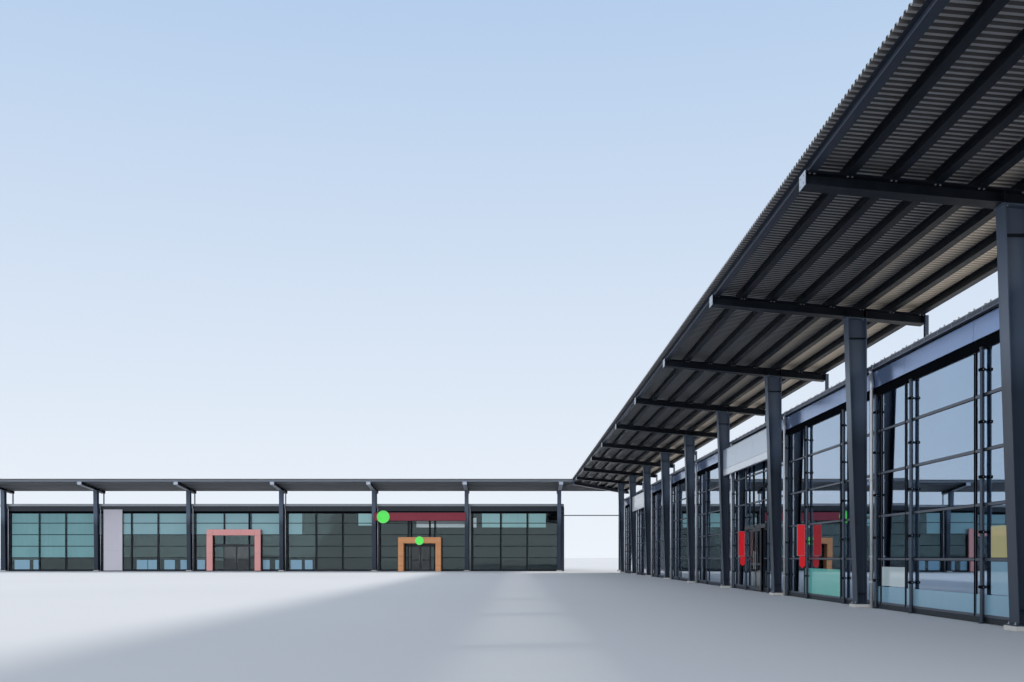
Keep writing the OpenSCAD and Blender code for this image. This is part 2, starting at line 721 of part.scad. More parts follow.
floors();
side_walls();
back_walls();
side_roof();
back_roof();
plinths();
front_frames();
side_glass();
back_glass();
side_cover_strips();
back_cover_strips();
front_posts();
eaves_beams();
side_fascia();
back_fascia();
gutters();
downpipes();
column_pads();
side_columns();
back_columns();
side_rafters();
back_rafters();
side_purlins();
back_purlins();
edge_beams();
side_canopy_sheet();
back_canopy_sheet();
canopy_ties();
mitre_beam();
corner_column();
passage_tie();
timber_portal();
painted_portal();
door_headers();
market_leaf_left();
market_leaf_right();
painted_leaf_left();
painted_leaf_right();
shop_leaf_left();
shop_leaf_right();
market_sign_band();
round_signs();
shop_sign_boards();
sign_panel();
blade_signs();
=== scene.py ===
"""Render scene of a retail building in two wings under one mitred steel canopy, scale 1:10.

Lengths are metres of the model. A place on a wing is (u, d, z): u runs from the column line
into the hall, d along the wing from the corner where the two column lines cross, z up.
"""
import math
import random

import bmesh
import bpy
from mathutils import Matrix, Vector


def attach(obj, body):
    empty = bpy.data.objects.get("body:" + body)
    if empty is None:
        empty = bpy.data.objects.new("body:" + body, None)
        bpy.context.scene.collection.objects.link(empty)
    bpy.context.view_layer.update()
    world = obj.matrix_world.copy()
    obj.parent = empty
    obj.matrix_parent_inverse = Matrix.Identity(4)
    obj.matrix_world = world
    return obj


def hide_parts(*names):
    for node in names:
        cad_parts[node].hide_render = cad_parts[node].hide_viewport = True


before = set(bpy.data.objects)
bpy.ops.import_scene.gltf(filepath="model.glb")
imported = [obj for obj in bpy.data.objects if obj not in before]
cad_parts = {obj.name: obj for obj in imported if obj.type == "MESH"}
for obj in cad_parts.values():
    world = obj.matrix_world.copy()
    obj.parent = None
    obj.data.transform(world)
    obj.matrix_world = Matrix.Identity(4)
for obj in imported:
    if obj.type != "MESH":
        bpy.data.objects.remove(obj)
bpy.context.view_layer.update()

# Sizes from the part
BAY = 0.8
CORNER = Vector((1.7985, 3.22, 0))
SIDE_FIRST, SIDE_BAYS = 0.88, 9
BACK_FIRST, BACK_BAYS = 0.437, 6
HALL_END, WALL_T = 0.04, 0.02
SIDE_MULLIONS = (0.073, 0.227, 0.571)
BACK_MULLIONS = (0.052, 0.291, 0.521)
SIDE_POSTS = (0.053, 0.272, 0.612)
BACK_POSTS = (0.042, 0.299, 0.529)

PITCH = math.radians(5.2)
HEAD_H, SLOPE = 0.694, math.tan(PITCH)
FRONT, REAR = -0.339, 0.17
RAFTER_H, FLANGE_W, FLANGE_T, WEB_T = 0.023, 0.033, 0.0018, 0.0014
PURLIN_H, EDGE_U = 0.02, -0.327
PURLIN_LINES = [-0.265 + i * 0.071333 for i in range(7)]
SHEET_OVER, HAIR = 0.005, 0.0002
COLUMN_REAR, HEAD_W, FOOT_W, PLATE_T, PAD_H = 0.03, 0.046, 0.023, 0.002, 0.008

GLASS_U, GLASS_T, GLASS_TOP, PLINTH_H = 0.045, 0.002, 0.506, 0.011
TRANSOMS = (0.116, 0.216, 0.316, 0.416)
CLAMPS = (0.066, 0.166, 0.266, 0.366, 0.461)
CAP_U, CAP_W = 0.043, 0.007
POST_U, POST_R, PIPE_U, PIPE_R = 0.0386, 0.004, 0.0325, 0.004
REAR_WALL_U, REAR_FACE = 1.659, 1.685
FASCIA_U, FASCIA_Z, FASCIA_H, FASCIA_T = 0.0408, 0.521, 0.037, 0.004
EAVES_Z, ROOF_T, SKIN_U, GUTTER_U, GUTTER_W = 0.572, 0.008, 0.034, 0.031, 0.009
ROOF_SLOPE, ROOF_RIB_PITCH = math.tan(math.radians(1.5)), BAY / 12
DOOR_H, LEAF_T, LEAF_U, LEAF_LAP, FLOOR_T = 0.22, 0.003, 0.033, 0.004, 0.004

MARKET_D = BACK_FIRST + 1.5 * BAY
WIDE_D = BACK_FIRST + 4 * BAY - 0.406
PAINTED_D = WIDE_D + 0.019
SHOP_D = SIDE_FIRST + 5 * BAY + 0.442
# Doorways as place, half the width, and where the posts in the leaves' path start
MARKET, PAINTED, SHOP = (MARKET_D, 0.08, 0.294), (WIDE_D, 0.108, 0.362), (SHOP_D, 0.076, 0.24)
DOORS = {"side": [SHOP], "back": [MARKET, PAINTED]}

# Eased edges, and ways that bolts point
FINE, EASED = 0.0002, 0.0003
UP, DOWN, INWARD, OUTWARD = (0, 0, 1), (0, 0, -1), (1, 0, 0), (-1, 0, 0)


def under(u):
    """Underside of the rafters."""
    return HEAD_H - SLOPE * u


def purlin_foot(u):
    return under(u) + RAFTER_H


def sheet_foot(u):
    return purlin_foot(u) + PURLIN_H / math.cos(PITCH) + HAIR


def roof_top(u):
    return EAVES_Z + (u - SKIN_U) * ROOF_SLOPE


def roof_under(u):
    return roof_top(u) - ROOF_T


def span(place, low, high=None):
    """From low to high beyond a place, or as far as low on both sides of it."""
    return (place - low, place + low) if high is None else (place + low, place + high)


def runs(stops, gap=0.0):
    """The stretches between neighbouring stops, each short of them by a gap."""
    return [(a + gap, b - gap) for a, b in zip(stops, stops[1:])]


def parts(low, high, count):
    """The stops that part a stretch evenly."""
    return [low + i * (high - low) / count for i in range(count + 1)]


class Wing:
    """One wing: its columns and mullions, and the move from (u, d, z) to the model's frame."""

    def __init__(self, name, first, bays, matrix, mullions, posts, way):
        self.name, self.first, self.matrix, self.way = name, first, matrix, way
        self.columns = [first + i * BAY for i in range(bays + 1)]
        # Each bay is measured to the right of its left column, as seen from the front
        self.lefts = self.columns[:-1] if way > 0 else self.columns[1:]
        self.mullions = self.across(mullions)
        self.inner_mullions = self.across(mullions[1:])
        self.posts = [(d, self.post_foot(d)) for d in self.across(posts)]
        self.low, self.high = first - HALL_END, self.columns[-1] + HALL_END
        self.ends = (self.low, self.high)

    def across(self, offsets):
        """Places at the same offsets in every bay."""
        return [column + self.way * offset for column in self.lefts for offset in offsets]

    def post_foot(self, d):
        """Where a slender post starts: on the ground, or above an entrance it would bar."""
        for door, half, start in DOORS[self.name]:
            if abs(door - d) < 2 * half + LEAF_LAP + 0.007:
                return start
        return 0.0

    def stretches(self):
        """Glazed stretches as (from, to, foot), between the doorways and over them."""
        ends = [self.low + WALL_T + HAIR]
        for door, half, _ in DOORS[self.name]:
            ends += [door - half, door + half]
        ends.append(self.high - WALL_T - HAIR)
        for i, (low, high) in enumerate(runs(ends, HAIR)):
            yield low, high, (DOOR_H if i % 2 else PLINTH_H) + HAIR


SIDE = Wing("side", SIDE_FIRST, SIDE_BAYS,
            Matrix(((1, 0, 0, CORNER.x), (0, -1, 0, CORNER.y), (0, 0, 1, 0), (0, 0, 0, 1))),
            SIDE_MULLIONS, SIDE_POSTS, 1)
BACK = Wing("back", BACK_FIRST, BACK_BAYS,
            Matrix(((0, -1, 0, CORNER.x), (1, 0, 0, CORNER.y), (0, 0, 1, 0), (0, 0, 0, 1))),
            BACK_MULLIONS, BACK_POSTS, -1)
WINGS = (SIDE, BACK)

# Camera
camera_data = bpy.data.cameras.new("camera")
camera_data.lens, camera_data.sensor_width = 36.6, 36
camera_data.shift_x, camera_data.shift_y = -0.0042, 0.2112
camera_data.clip_end = 500
camera = bpy.data.objects.new("camera", camera_data)
camera.location = (0.9905, -5.764, 0.12)
camera.rotation_euler = (math.radians(90), 0, 0)
bpy.context.scene.collection.objects.link(camera)
bpy.context.scene.camera = camera


# Shaders
class Field:
    """A value that varies over a surface, with the arithmetic the shaders need."""

    def __init__(self, nodes, socket):
        self.nodes, self.socket = nodes, socket

    def math(self, operation, *values):
        return self.nodes.node("Math", {"operation": operation}, values)

    def __add__(self, other):
        return self.math("ADD", self, other)

    def __sub__(self, other):
        return self.math("SUBTRACT", self, other)

    def __rsub__(self, other):
        return self.math("SUBTRACT", other, self)

    def __mul__(self, other):
        return self.math("MULTIPLY", self, other)

    def __truediv__(self, other):
        return self.math("DIVIDE", self, other)

    def __lt__(self, other):
        return self.math("LESS_THAN", self, other)

    __radd__, __rmul__ = __add__, __mul__

    def clamp(self):
        return self.math("MINIMUM", self.math("MAXIMUM", self, 0.0), 1.0)


class Nodes:
    """A node tree that is filled one node at a time."""

    def __init__(self, tree):
        self.tree = tree

    def node(self, kind, settings=(), values=(), output=0):
        """Adds a node: settings first, then the values or links of its sockets."""
        node = self.tree.nodes.new("ShaderNode" + kind)
        for name, value in dict(settings).items():
            if name == "stops":
                ramp = node.color_ramp
                while len(ramp.elements) < len(value):
                    ramp.elements.new(1)
                for element, (place, colour) in zip(ramp.elements, value):
                    element.position = place
                    element.color = (*colour, 1) if isinstance(colour, tuple) else (colour,) * 3 + (1,)
            else:
                setattr(node, name, value)
        pairs = values.items() if isinstance(values, dict) else enumerate(values)
        for key, value in pairs:
            self.feed(node.inputs[key], value)
        return Field(self, node.outputs[output])

    def feed(self, socket, value):
        if isinstance(value, Field):
            self.tree.links.new(value.socket, socket)
        elif isinstance(value, tuple) and socket.type == "RGBA":
            socket.default_value = (*value, 1)
        else:
            socket.default_value = value


class Shader(Nodes):
    """A material around one Principled shader. Constants are set on its own sockets."""

    def __init__(self, name, **constants):
        self.material = bpy.data.materials.new(name)
        self.material.use_nodes = True
        super().__init__(self.material.node_tree)
        self.principled = self.tree.nodes["Principled BSDF"]
        for socket, value in constants.items():
            self.principled.inputs[socket.replace("_", " ")].default_value = value

    def place(self):
        """The point on the piece, in metres, which moves with the piece."""
        return self.node("TexCoord", output="Object")

    def axis(self, index):
        return self.node("SeparateXYZ", {}, [self.place()], output=index)

    def stretched(self, x, y, z):
        """The point scaled along each axis, for grain and streaks."""
        return self.node("VectorMath", {"operation": "MULTIPLY"}, [self.place(), (x, y, z)])

    def noise(self, scale, detail=3.0, vector=None):
        return self.node("TexNoise", {}, {"Vector": vector or self.place(), "Scale": scale, "Detail": detail})

    def cells(self, scale, output=0):
        return self.node("TexVoronoi", {"feature": "F1"}, {"Vector": self.place(), "Scale": scale}, output)

    def mix(self, factor, first, second):
        return self.node("Mix", {"data_type": "RGBA"}, {0: factor, 6: first, 7: second}, output=2)

    def varies(self, socket, value):
        self.feed(self.principled.inputs[socket], value)
        return self

    def bump(self, height, depth):
        """Relief of a given depth in metres where height runs from 0 to 1."""
        values = {"Height": height, "Distance": depth, "Strength": 1.0}
        return self.varies("Normal", self.node("Bump", {}, values))


# The columns' heads are painted lighter from this height on, over this much: painted light, as light reaches
# them from behind above the eaves
HEAD_LIGHT_FOOT, HEAD_LIGHT_H = 0.39, 0.09
# How much painted light the side canopy's underside gets, from its front edge, 0, to its rear edge, 1: pale
# strips behind the rear purlins, with painted shadow just in front of each purlin
STRIP_5, STRIP_6, STRIP_7 = ((u - FRONT) / (REAR - FRONT) for u in PURLIN_LINES[3:6])
PAINTED_LIGHT_RAMP = ((STRIP_5 - 0.02, 0.0), (STRIP_5 + 0.015, 0.75), (STRIP_5 + 0.075, 0.50), (STRIP_6 - 0.008, 0.08),
          (STRIP_6 + 0.012, 1.0), (STRIP_6 + 0.085, 0.85), (STRIP_7 - 0.008, 0.45), (STRIP_7 + 0.012, 1.0),
          (0.97, 0.9))


def painted_steel(name, colour, dusty, roughness, metallic=0.0, specular=0.5, lit_head=None):
    """Powder-coated steel: faint orange peel, dust in patches and rain streaks down its faces.

    Its upper part turns to a paler colour, painted light that stands in for light from behind above the
    eaves.
    """
    s = Shader(name, Metallic=metallic, Specular_IOR_Level=specular)
    patches = s.noise(3.0, 4.0)
    streaks = s.noise(1.0, 3.0, s.stretched(60, 60, 2.5))
    dust = (patches * 0.6 + streaks * 0.4 - 0.42).clamp() * 2.4
    tone = s.mix(dust.clamp(), colour, dusty)
    # Painted light: the upper part turns paler with height
    if lit_head:
        tone = s.mix(((s.axis(2) - HEAD_LIGHT_FOOT) / HEAD_LIGHT_H).clamp(), tone, lit_head)
    s.varies("Base Color", tone)
    s.varies("Roughness", (dust * 0.25 + (roughness - 0.04)) + s.noise(90.0, 2.0) * 0.08)
    return s.bump(s.noise(900.0, 2.0), 0.00006).material


def galvanised(name, colour, dark):
    """Zinc coating with its crystals, dull patches and darker seams of weather."""
    s = Shader(name, Metallic=0.75)
    crystal = s.node("SeparateColor", {}, [s.cells(260.0, "Color")])
    weather = s.noise(9.0, 5.0)
    s.varies("Base Color", s.mix((crystal * 0.35 + weather * 0.9 - 0.25).clamp(), dark, colour))
    s.varies("Roughness", 0.34 + crystal * 0.12 + weather * 0.1)
    return s.bump(weather, 0.0001).material


def sheet_metal(name, colour, worn, roughness, metallic, painted_light=None):
    """Coated sheet: long faint bands where coils were rolled, dust lying in patches.

    Under the side canopy the strips between the rear purlins are painted a paler colour: painted light from
    behind, with painted purlin shadows.
    """
    s = Shader(name, Metallic=metallic)
    bands = s.noise(1.0, 3.0, s.stretched(5, 5, 40))
    patches = s.noise(14.0, 4.0)
    tone = s.mix((bands * 0.6 + patches * 0.6 - 0.3).clamp(), colour, worn)
    # Painted light and painted purlin shadow on the side canopy's underside, by place across the canopy
    if painted_light:
        across = (s.axis(0) - (CORNER.x + FRONT)) / (REAR - FRONT)
        tone = s.mix(s.node("ValToRGB", {"stops": PAINTED_LIGHT_RAMP}, [across]), tone, painted_light)
    s.varies("Base Color", tone)
    s.varies("Roughness", roughness + patches * 0.14)
    return s.bump(s.noise(500.0, 2.0), 0.00005).material


def poured_concrete(name, light, dark):
    """Concrete with clouds of tone, grit and open pores."""
    s = Shader(name, Roughness=0.85)
    clouds = s.noise(8.0, 6.0)
    grit = s.noise(420.0, 3.0)
    pores = s.cells(320.0) < 0.13
    s.varies("Base Color", s.mix((clouds * 0.8 + grit * 0.35 - 0.1).clamp(), dark, light))
    return s.bump((grit * 0.5 + 0.5) - pores * 0.5, 0.0004).material


def boarded_timber(name, board, light, dark):
    """Oiled boards laid in courses: grain along the board, each course its own tone."""
    s = Shader(name, Coat_Weight=0.05)
    course = s.node("Math", {"operation": "FLOOR"}, [s.axis(2) / board])
    tone = s.node("TexWhiteNoise", {"noise_dimensions": "1D"}, {"W": course})
    shifted = s.node("VectorMath", {"operation": "ADD"}, [
        s.stretched(8, 300, 300), s.node("CombineXYZ", {}, [course * 7.3, course * 3.1, 0.0])])
    grain = s.noise(1.0, 6.0, shifted)
    fibres = s.noise(4.0, 4.0, shifted)
    mixed = (grain * 0.75 + fibres * 0.35 + tone * 0.35 - 0.35).clamp()
    s.varies("Base Color", s.mix(mixed, dark, light))
    s.varies("Roughness", 0.5 + grain * 0.25)
    return s.bump(fibres, 0.0003).material


def board_paint(name, colour, pale, roughness=0.42):
    """Rolled paint on flat panels: a low sheen, slight fading and roller texture."""
    s = Shader(name)
    fade = s.noise(5.0, 4.0)
    s.varies("Base Color", s.mix((fade * 1.2 - 0.2).clamp(), colour, pale))
    s.varies("Roughness", roughness + fade * 0.12)
    return s.bump(s.noise(650.0, 2.0), 0.00008).material


def lit_face(name, colour, deep, glow):
    """Face of an illuminated sign: even acrylic with faint brighter clouds."""
    s = Shader(name, Roughness=0.3, Emission_Strength=glow)
    tone = s.mix(s.noise(30.0, 1.0), deep, colour)
    return s.varies("Base Color", tone).varies("Emission Color", tone).material


def smooth_panel(name, colour, pale, roughness, metallic, coat=0.0):
    """Flat coated panel: even colour that drifts a little over metres, almost no texture."""
    s = Shader(name, Metallic=metallic, Coat_Weight=coat, Coat_Roughness=0.08)
    drift = s.noise(1.3, 2.0)
    s.varies("Base Color", s.mix((drift * 1.4 - 0.2).clamp(), colour, pale))
    s.varies("Roughness", roughness + s.noise(25.0, 3.0) * 0.06)
    return s.bump(s.noise(700.0, 2.0), 0.00003).material


def window_glass(name, tint, ior, mirror=0.0):
    """Coated shop glass: a tinted body, a thin mirror coat, and rain marks that dull it a little."""
    s = Shader(name, IOR=ior, Transmission_Weight=1.0, Metallic=mirror)
    s.varies("Base Color", s.mix(s.noise(6.0, 3.0), tint, tuple(c * 0.88 for c in tint)))
    return s.varies("Roughness", (s.noise(40.0, 2.0) * 0.02).clamp()).material


def film(name, colour, deep, streak=0.5):
    """Printed film on the glass: soft clouds of tone and faint upright folds under a clear gloss."""
    s = Shader(name, Roughness=0.6, Coat_Weight=1.0, Coat_Roughness=0.02)
    clouds = s.noise(5.0, 3.0, s.stretched(1, 1, 0.6))
    folds = s.noise(1.0, 2.0, s.stretched(45, 45, 1.5))
    tone = (clouds * (1.6 - streak) + folds * streak - 0.3).clamp()
    return s.varies("Base Color", s.mix(tone, deep, colour)).material


# Finishes
CANOPY_STEEL = painted_steel("canopy_steel", (0.012, 0.016, 0.023), (0.026, 0.032, 0.042), 0.36, 0.0, 0.12)
EDGE_STEEL = painted_steel("edge_steel", (0.040, 0.050, 0.074), (0.066, 0.080, 0.112), 0.32, 0.0, 0.2)
# A pale copy of the steel: painted light and painted reflection on the rafters' end plates and feet
PLATE_PAINTED_LIGHT = painted_steel("plate_steel", (0.42, 0.47, 0.56), (0.55, 0.60, 0.68), 0.35)
# The last colour is painted light on the columns' heads
COLUMN_STEEL = painted_steel("column_steel", (0.021, 0.031, 0.050), (0.048, 0.064, 0.096), 0.3, 0.0, 0.4,
                             (0.095, 0.128, 0.185))
FRONT_STEEL = painted_steel("front_steel", (0.012, 0.016, 0.022), (0.030, 0.036, 0.045), 0.38, 0.0, 0.25)
POST_STEEL = painted_steel("post_steel", (0.060, 0.074, 0.098), (0.095, 0.11, 0.14), 0.15, 0.8)
BACK_POST_STEEL = painted_steel("back_post_steel", (0.016, 0.022, 0.030), (0.035, 0.043, 0.055), 0.34)
CAP_STEEL = painted_steel("cap_steel", (0.070, 0.083, 0.11), (0.12, 0.14, 0.175), 0.32, 0.3)
# Near-black steel: painted shade on the eaves beams in the recess under the fascia, and the dark of frames,
# seals and clamps
DARK_STEEL_AND_RECESS_SHADE = painted_steel("recess_steel", (0.004, 0.005, 0.007), (0.009, 0.011, 0.014), 0.7, 0.0, 0.0)
BOLT_STEEL = galvanised("bolt_zinc", (0.60, 0.62, 0.65), (0.36, 0.38, 0.40))
ZINC = galvanised("zinc", (0.84, 0.83, 0.83), (0.60, 0.60, 0.61))
GUTTER_STEEL = painted_steel("gutter_steel", (0.085, 0.10, 0.135), (0.13, 0.15, 0.19), 0.3, 0.3)
# The next three are lighter copies, painted light on the back wing's beam webs and eaves flashing
WEB_PAINTED_LIGHT = painted_steel("web_steel", (0.17, 0.195, 0.23), (0.22, 0.245, 0.28), 0.34)
PURLIN_PAINTED_LIGHT = painted_steel("purlin_web_steel", (0.47, 0.50, 0.55), (0.53, 0.56, 0.60), 0.36)
EAVES_PAINTED_LIGHT = painted_steel("eaves_steel", (0.34, 0.36, 0.39), (0.42, 0.44, 0.47), 0.34, 0.2)
LIP_STEEL = painted_steel("lip_steel", (0.34, 0.38, 0.45), (0.44, 0.48, 0.54), 0.32, 0.2)
# The side fascia's blue is partly the panels' own colour, partly a painted sky reflection; the back fascia's
# near black is a painted dark reflection
FASCIA_PAINTED_SKY = smooth_panel("fascia_panels", (0.20, 0.29, 0.50), (0.25, 0.34, 0.55), 0.09, 0.6)
BACK_FASCIA_PAINTED_DARK = smooth_panel("back_fascia_panels", (0.012, 0.019, 0.028), (0.019, 0.027, 0.038), 0.3, 0.0)
# The side sheet's last colour, and the trough copy's, are painted light behind the rear purlins; the trough
# copy is also painted shade
SHEET = sheet_metal("canopy_sheet", (0.50, 0.485, 0.475), (0.58, 0.56, 0.54), 0.42, 0.1, (0.93, 0.85, 0.75))
SHEET_TROUGH_SHADE = sheet_metal("canopy_sheet_trough", (0.125, 0.12, 0.12), (0.165, 0.155, 0.15), 0.55, 0.1,
                           (0.74, 0.67, 0.585))
# The back wing's sheet: a paler copy, painted light, and a darker copy, painted shade in the troughs
SHEET_PAINTED_LIGHT = sheet_metal("canopy_sheet_pale", (0.74, 0.74, 0.73), (0.80, 0.79, 0.77), 0.42, 0.1)
SHEET_SHADE = sheet_metal("canopy_sheet_shade", (0.60, 0.60, 0.59), (0.66, 0.65, 0.63), 0.5, 0.1)
SHEET_TOP = sheet_metal("canopy_sheet_top", (0.33, 0.33, 0.33), (0.40, 0.395, 0.385), 0.42, 0.2)
ROOF = sheet_metal("roof_sheet", (0.50, 0.495, 0.485), (0.58, 0.575, 0.56), 0.4, 0.1)
CLADDING = sheet_metal("wall_sheet", (0.060, 0.072, 0.090), (0.095, 0.108, 0.128), 0.4, 0.3)
CONCRETE = poured_concrete("floor_concrete", (0.26, 0.255, 0.25), (0.17, 0.165, 0.16))
GROUT = poured_concrete("grout", (0.60, 0.59, 0.57), (0.44, 0.43, 0.41))
BOARD_H = 0.0104
TIMBER = boarded_timber("portal_timber", BOARD_H, (0.86, 0.43, 0.21), (0.58, 0.25, 0.105))
ROSE = board_paint("rose_paint", (0.76, 0.33, 0.315), (0.80, 0.38, 0.36))
PALE_PANEL = board_paint("pale_panel", (0.56, 0.53, 0.60), (0.62, 0.59, 0.65), 0.3)
PANEL_RIM = smooth_panel("panel_rim", (0.30, 0.30, 0.33), (0.36, 0.36, 0.39), 0.3, 0.5)
SIGN_GREY = smooth_panel("board_face", (0.40, 0.50, 0.64), (0.50, 0.60, 0.72), 0.2, 0.0, 0.5)
SIGN_STRIP = smooth_panel("board_strip", (0.66, 0.73, 0.82), (0.74, 0.80, 0.87), 0.2, 0.0, 0.5)
SIGN_WHITE = smooth_panel("board_white", (0.78, 0.82, 0.86), (0.84, 0.87, 0.90), 0.25, 0.0, 0.4)
BAND_RED = board_paint("band_red", (0.24, 0.018, 0.040), (0.30, 0.030, 0.055), 0.32)
BAND_RIM = painted_steel("band_rim", (0.05, 0.012, 0.016), (0.09, 0.03, 0.035), 0.35)
SIGN_GREEN = lit_face("disc_green", (0.12, 0.80, 0.12), (0.07, 0.66, 0.07), 0.35)
DISC_RIM = smooth_panel("disc_rim", (0.30, 0.78, 0.25), (0.38, 0.82, 0.32), 0.25, 0.0, 0.5)
BLADE_RED = lit_face("blade_red", (0.72, 0.015, 0.02), (0.60, 0.01, 0.015), 0.2)
DOOR_FRAME = painted_steel("door_frame", (0.020, 0.026, 0.034), (0.045, 0.052, 0.064), 0.32)
RUBBER = smooth_panel("door_seal", (0.008, 0.008, 0.009), (0.014, 0.014, 0.015), 0.7, 0.0)
HANDLE = galvanised("handle_steel", (0.66, 0.66, 0.66), (0.45, 0.45, 0.46))
# The side glass's blue tint and stronger mirror are partly a painted sky reflection; the back glass is a
# darker, less mirrored copy, a painted dark reflection
SIDE_GLASS_PAINTED_SKY = window_glass("side_shop_glass", (0.50, 0.66, 0.84), 1.55, 0.55)
BACK_GLASS_PAINTED_DARK = window_glass("back_shop_glass", (0.22, 0.31, 0.31), 1.5, 0.12)
DOOR_GLASS = window_glass("door_glass", (0.42, 0.47, 0.50), 1.55)
TEAL_FILM = film("teal_film", (0.18, 0.40, 0.42), (0.11, 0.27, 0.29))
STEEL_FILM = film("steel_blue_film", (0.26, 0.46, 0.49), (0.21, 0.39, 0.43), 0.2)
WHITE_FILM = film("white_film", (0.60, 0.68, 0.70), (0.40, 0.52, 0.54))
SKY_FILM = film("pale_teal_film", (0.34, 0.60, 0.60), (0.22, 0.44, 0.44))
BLUE_FILM = film("pale_blue_film", (0.24, 0.42, 0.54), (0.19, 0.36, 0.48))
STRAW_FILM = film("straw_film", (0.56, 0.50, 0.22), (0.47, 0.43, 0.20))
GREEN_FILM = film("green_film", (0.14, 0.58, 0.42), (0.09, 0.42, 0.44))

# The finish of each node of the part. The door leaves have none here and are DOOR_FRAME
NODE_FINISH = {
    "floors": CONCRETE, "side_walls": CLADDING, "back_walls": CLADDING, "side_roof": ROOF,
    "back_roof": ROOF, "plinths": FRONT_STEEL, "front_frames": DARK_STEEL_AND_RECESS_SHADE, "side_glass": SIDE_GLASS_PAINTED_SKY,
    "back_glass": BACK_GLASS_PAINTED_DARK, "side_cover_strips": CAP_STEEL, "back_cover_strips": FRONT_STEEL,
    "front_posts": POST_STEEL, "eaves_beams": DARK_STEEL_AND_RECESS_SHADE, "side_fascia": FASCIA_PAINTED_SKY,
    "back_fascia": BACK_FASCIA_PAINTED_DARK, "gutters": GUTTER_STEEL, "downpipes": ZINC, "column_pads": GROUT,
    "side_columns": COLUMN_STEEL, "back_columns": COLUMN_STEEL, "side_rafters": CANOPY_STEEL,
    "back_rafters": CANOPY_STEEL, "side_purlins": CANOPY_STEEL, "back_purlins": CANOPY_STEEL,
    "edge_beams": EDGE_STEEL, "side_canopy_sheet": SHEET, "back_canopy_sheet": SHEET,
    "canopy_ties": POST_STEEL, "mitre_beam": EDGE_STEEL, "corner_column": COLUMN_STEEL,
    "passage_tie": POST_STEEL, "timber_portal": TIMBER, "painted_portal": ROSE,
    "door_headers": FRONT_STEEL, "market_sign_band": BAND_RED, "round_signs": SIGN_GREEN,
    "shop_sign_boards": SIGN_GREY, "sign_panel": PALE_PANEL, "blade_signs": BLADE_RED,
}
for node_name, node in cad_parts.items():
    node.data.materials.clear()
    node.data.materials.append(NODE_FINISH.get(node_name, DOOR_FRAME))

# The record's slot for each finish, where a piece has that finish
SLOTS = {
    "concrete": (CONCRETE,), "grout": (GROUT,), "wall_cladding": (CLADDING,), "roof_panels": (ROOF,),
    "front_steel": (FRONT_STEEL, POST_STEEL, BACK_POST_STEEL, CAP_STEEL, DARK_STEEL_AND_RECESS_SHADE),
    "front_glass": (SIDE_GLASS_PAINTED_SKY, BACK_GLASS_PAINTED_DARK, DOOR_GLASS), "fascia_panels": (FASCIA_PAINTED_SKY, BACK_FASCIA_PAINTED_DARK),
    "zinc": (ZINC, BOLT_STEEL, GUTTER_STEEL, EAVES_PAINTED_LIGHT, LIP_STEEL, HANDLE),
    "canopy_steel": (CANOPY_STEEL, EDGE_STEEL, WEB_PAINTED_LIGHT, PURLIN_PAINTED_LIGHT, COLUMN_STEEL, PLATE_PAINTED_LIGHT),
    "canopy_sheet": (SHEET, SHEET_PAINTED_LIGHT, SHEET_TROUGH_SHADE, SHEET_SHADE, SHEET_TOP),
    "timber": (TIMBER,), "rose_paint": (ROSE,), "door_frames": (DOOR_FRAME,),
    "sign_red": (BAND_RED, BAND_RIM), "sign_green": (SIGN_GREEN, DISC_RIM),
    "sign_pale": (SIGN_GREY, SIGN_STRIP, SIGN_WHITE), "sign_grey": (PALE_PANEL, PANEL_RIM),
    "blade_red": (BLADE_RED,),
}
SLOT_OF = {finish.name: slot for slot, finishes in SLOTS.items() for finish in finishes}


# Piece making
def circle(centre, across, other, radius, sides):
    """Points round a centre, in the plane of two directions."""
    turns = [2 * math.pi * i / sides for i in range(sides)]
    return [centre + radius * (across * math.cos(turn) + other * math.sin(turn)) for turn in turns]


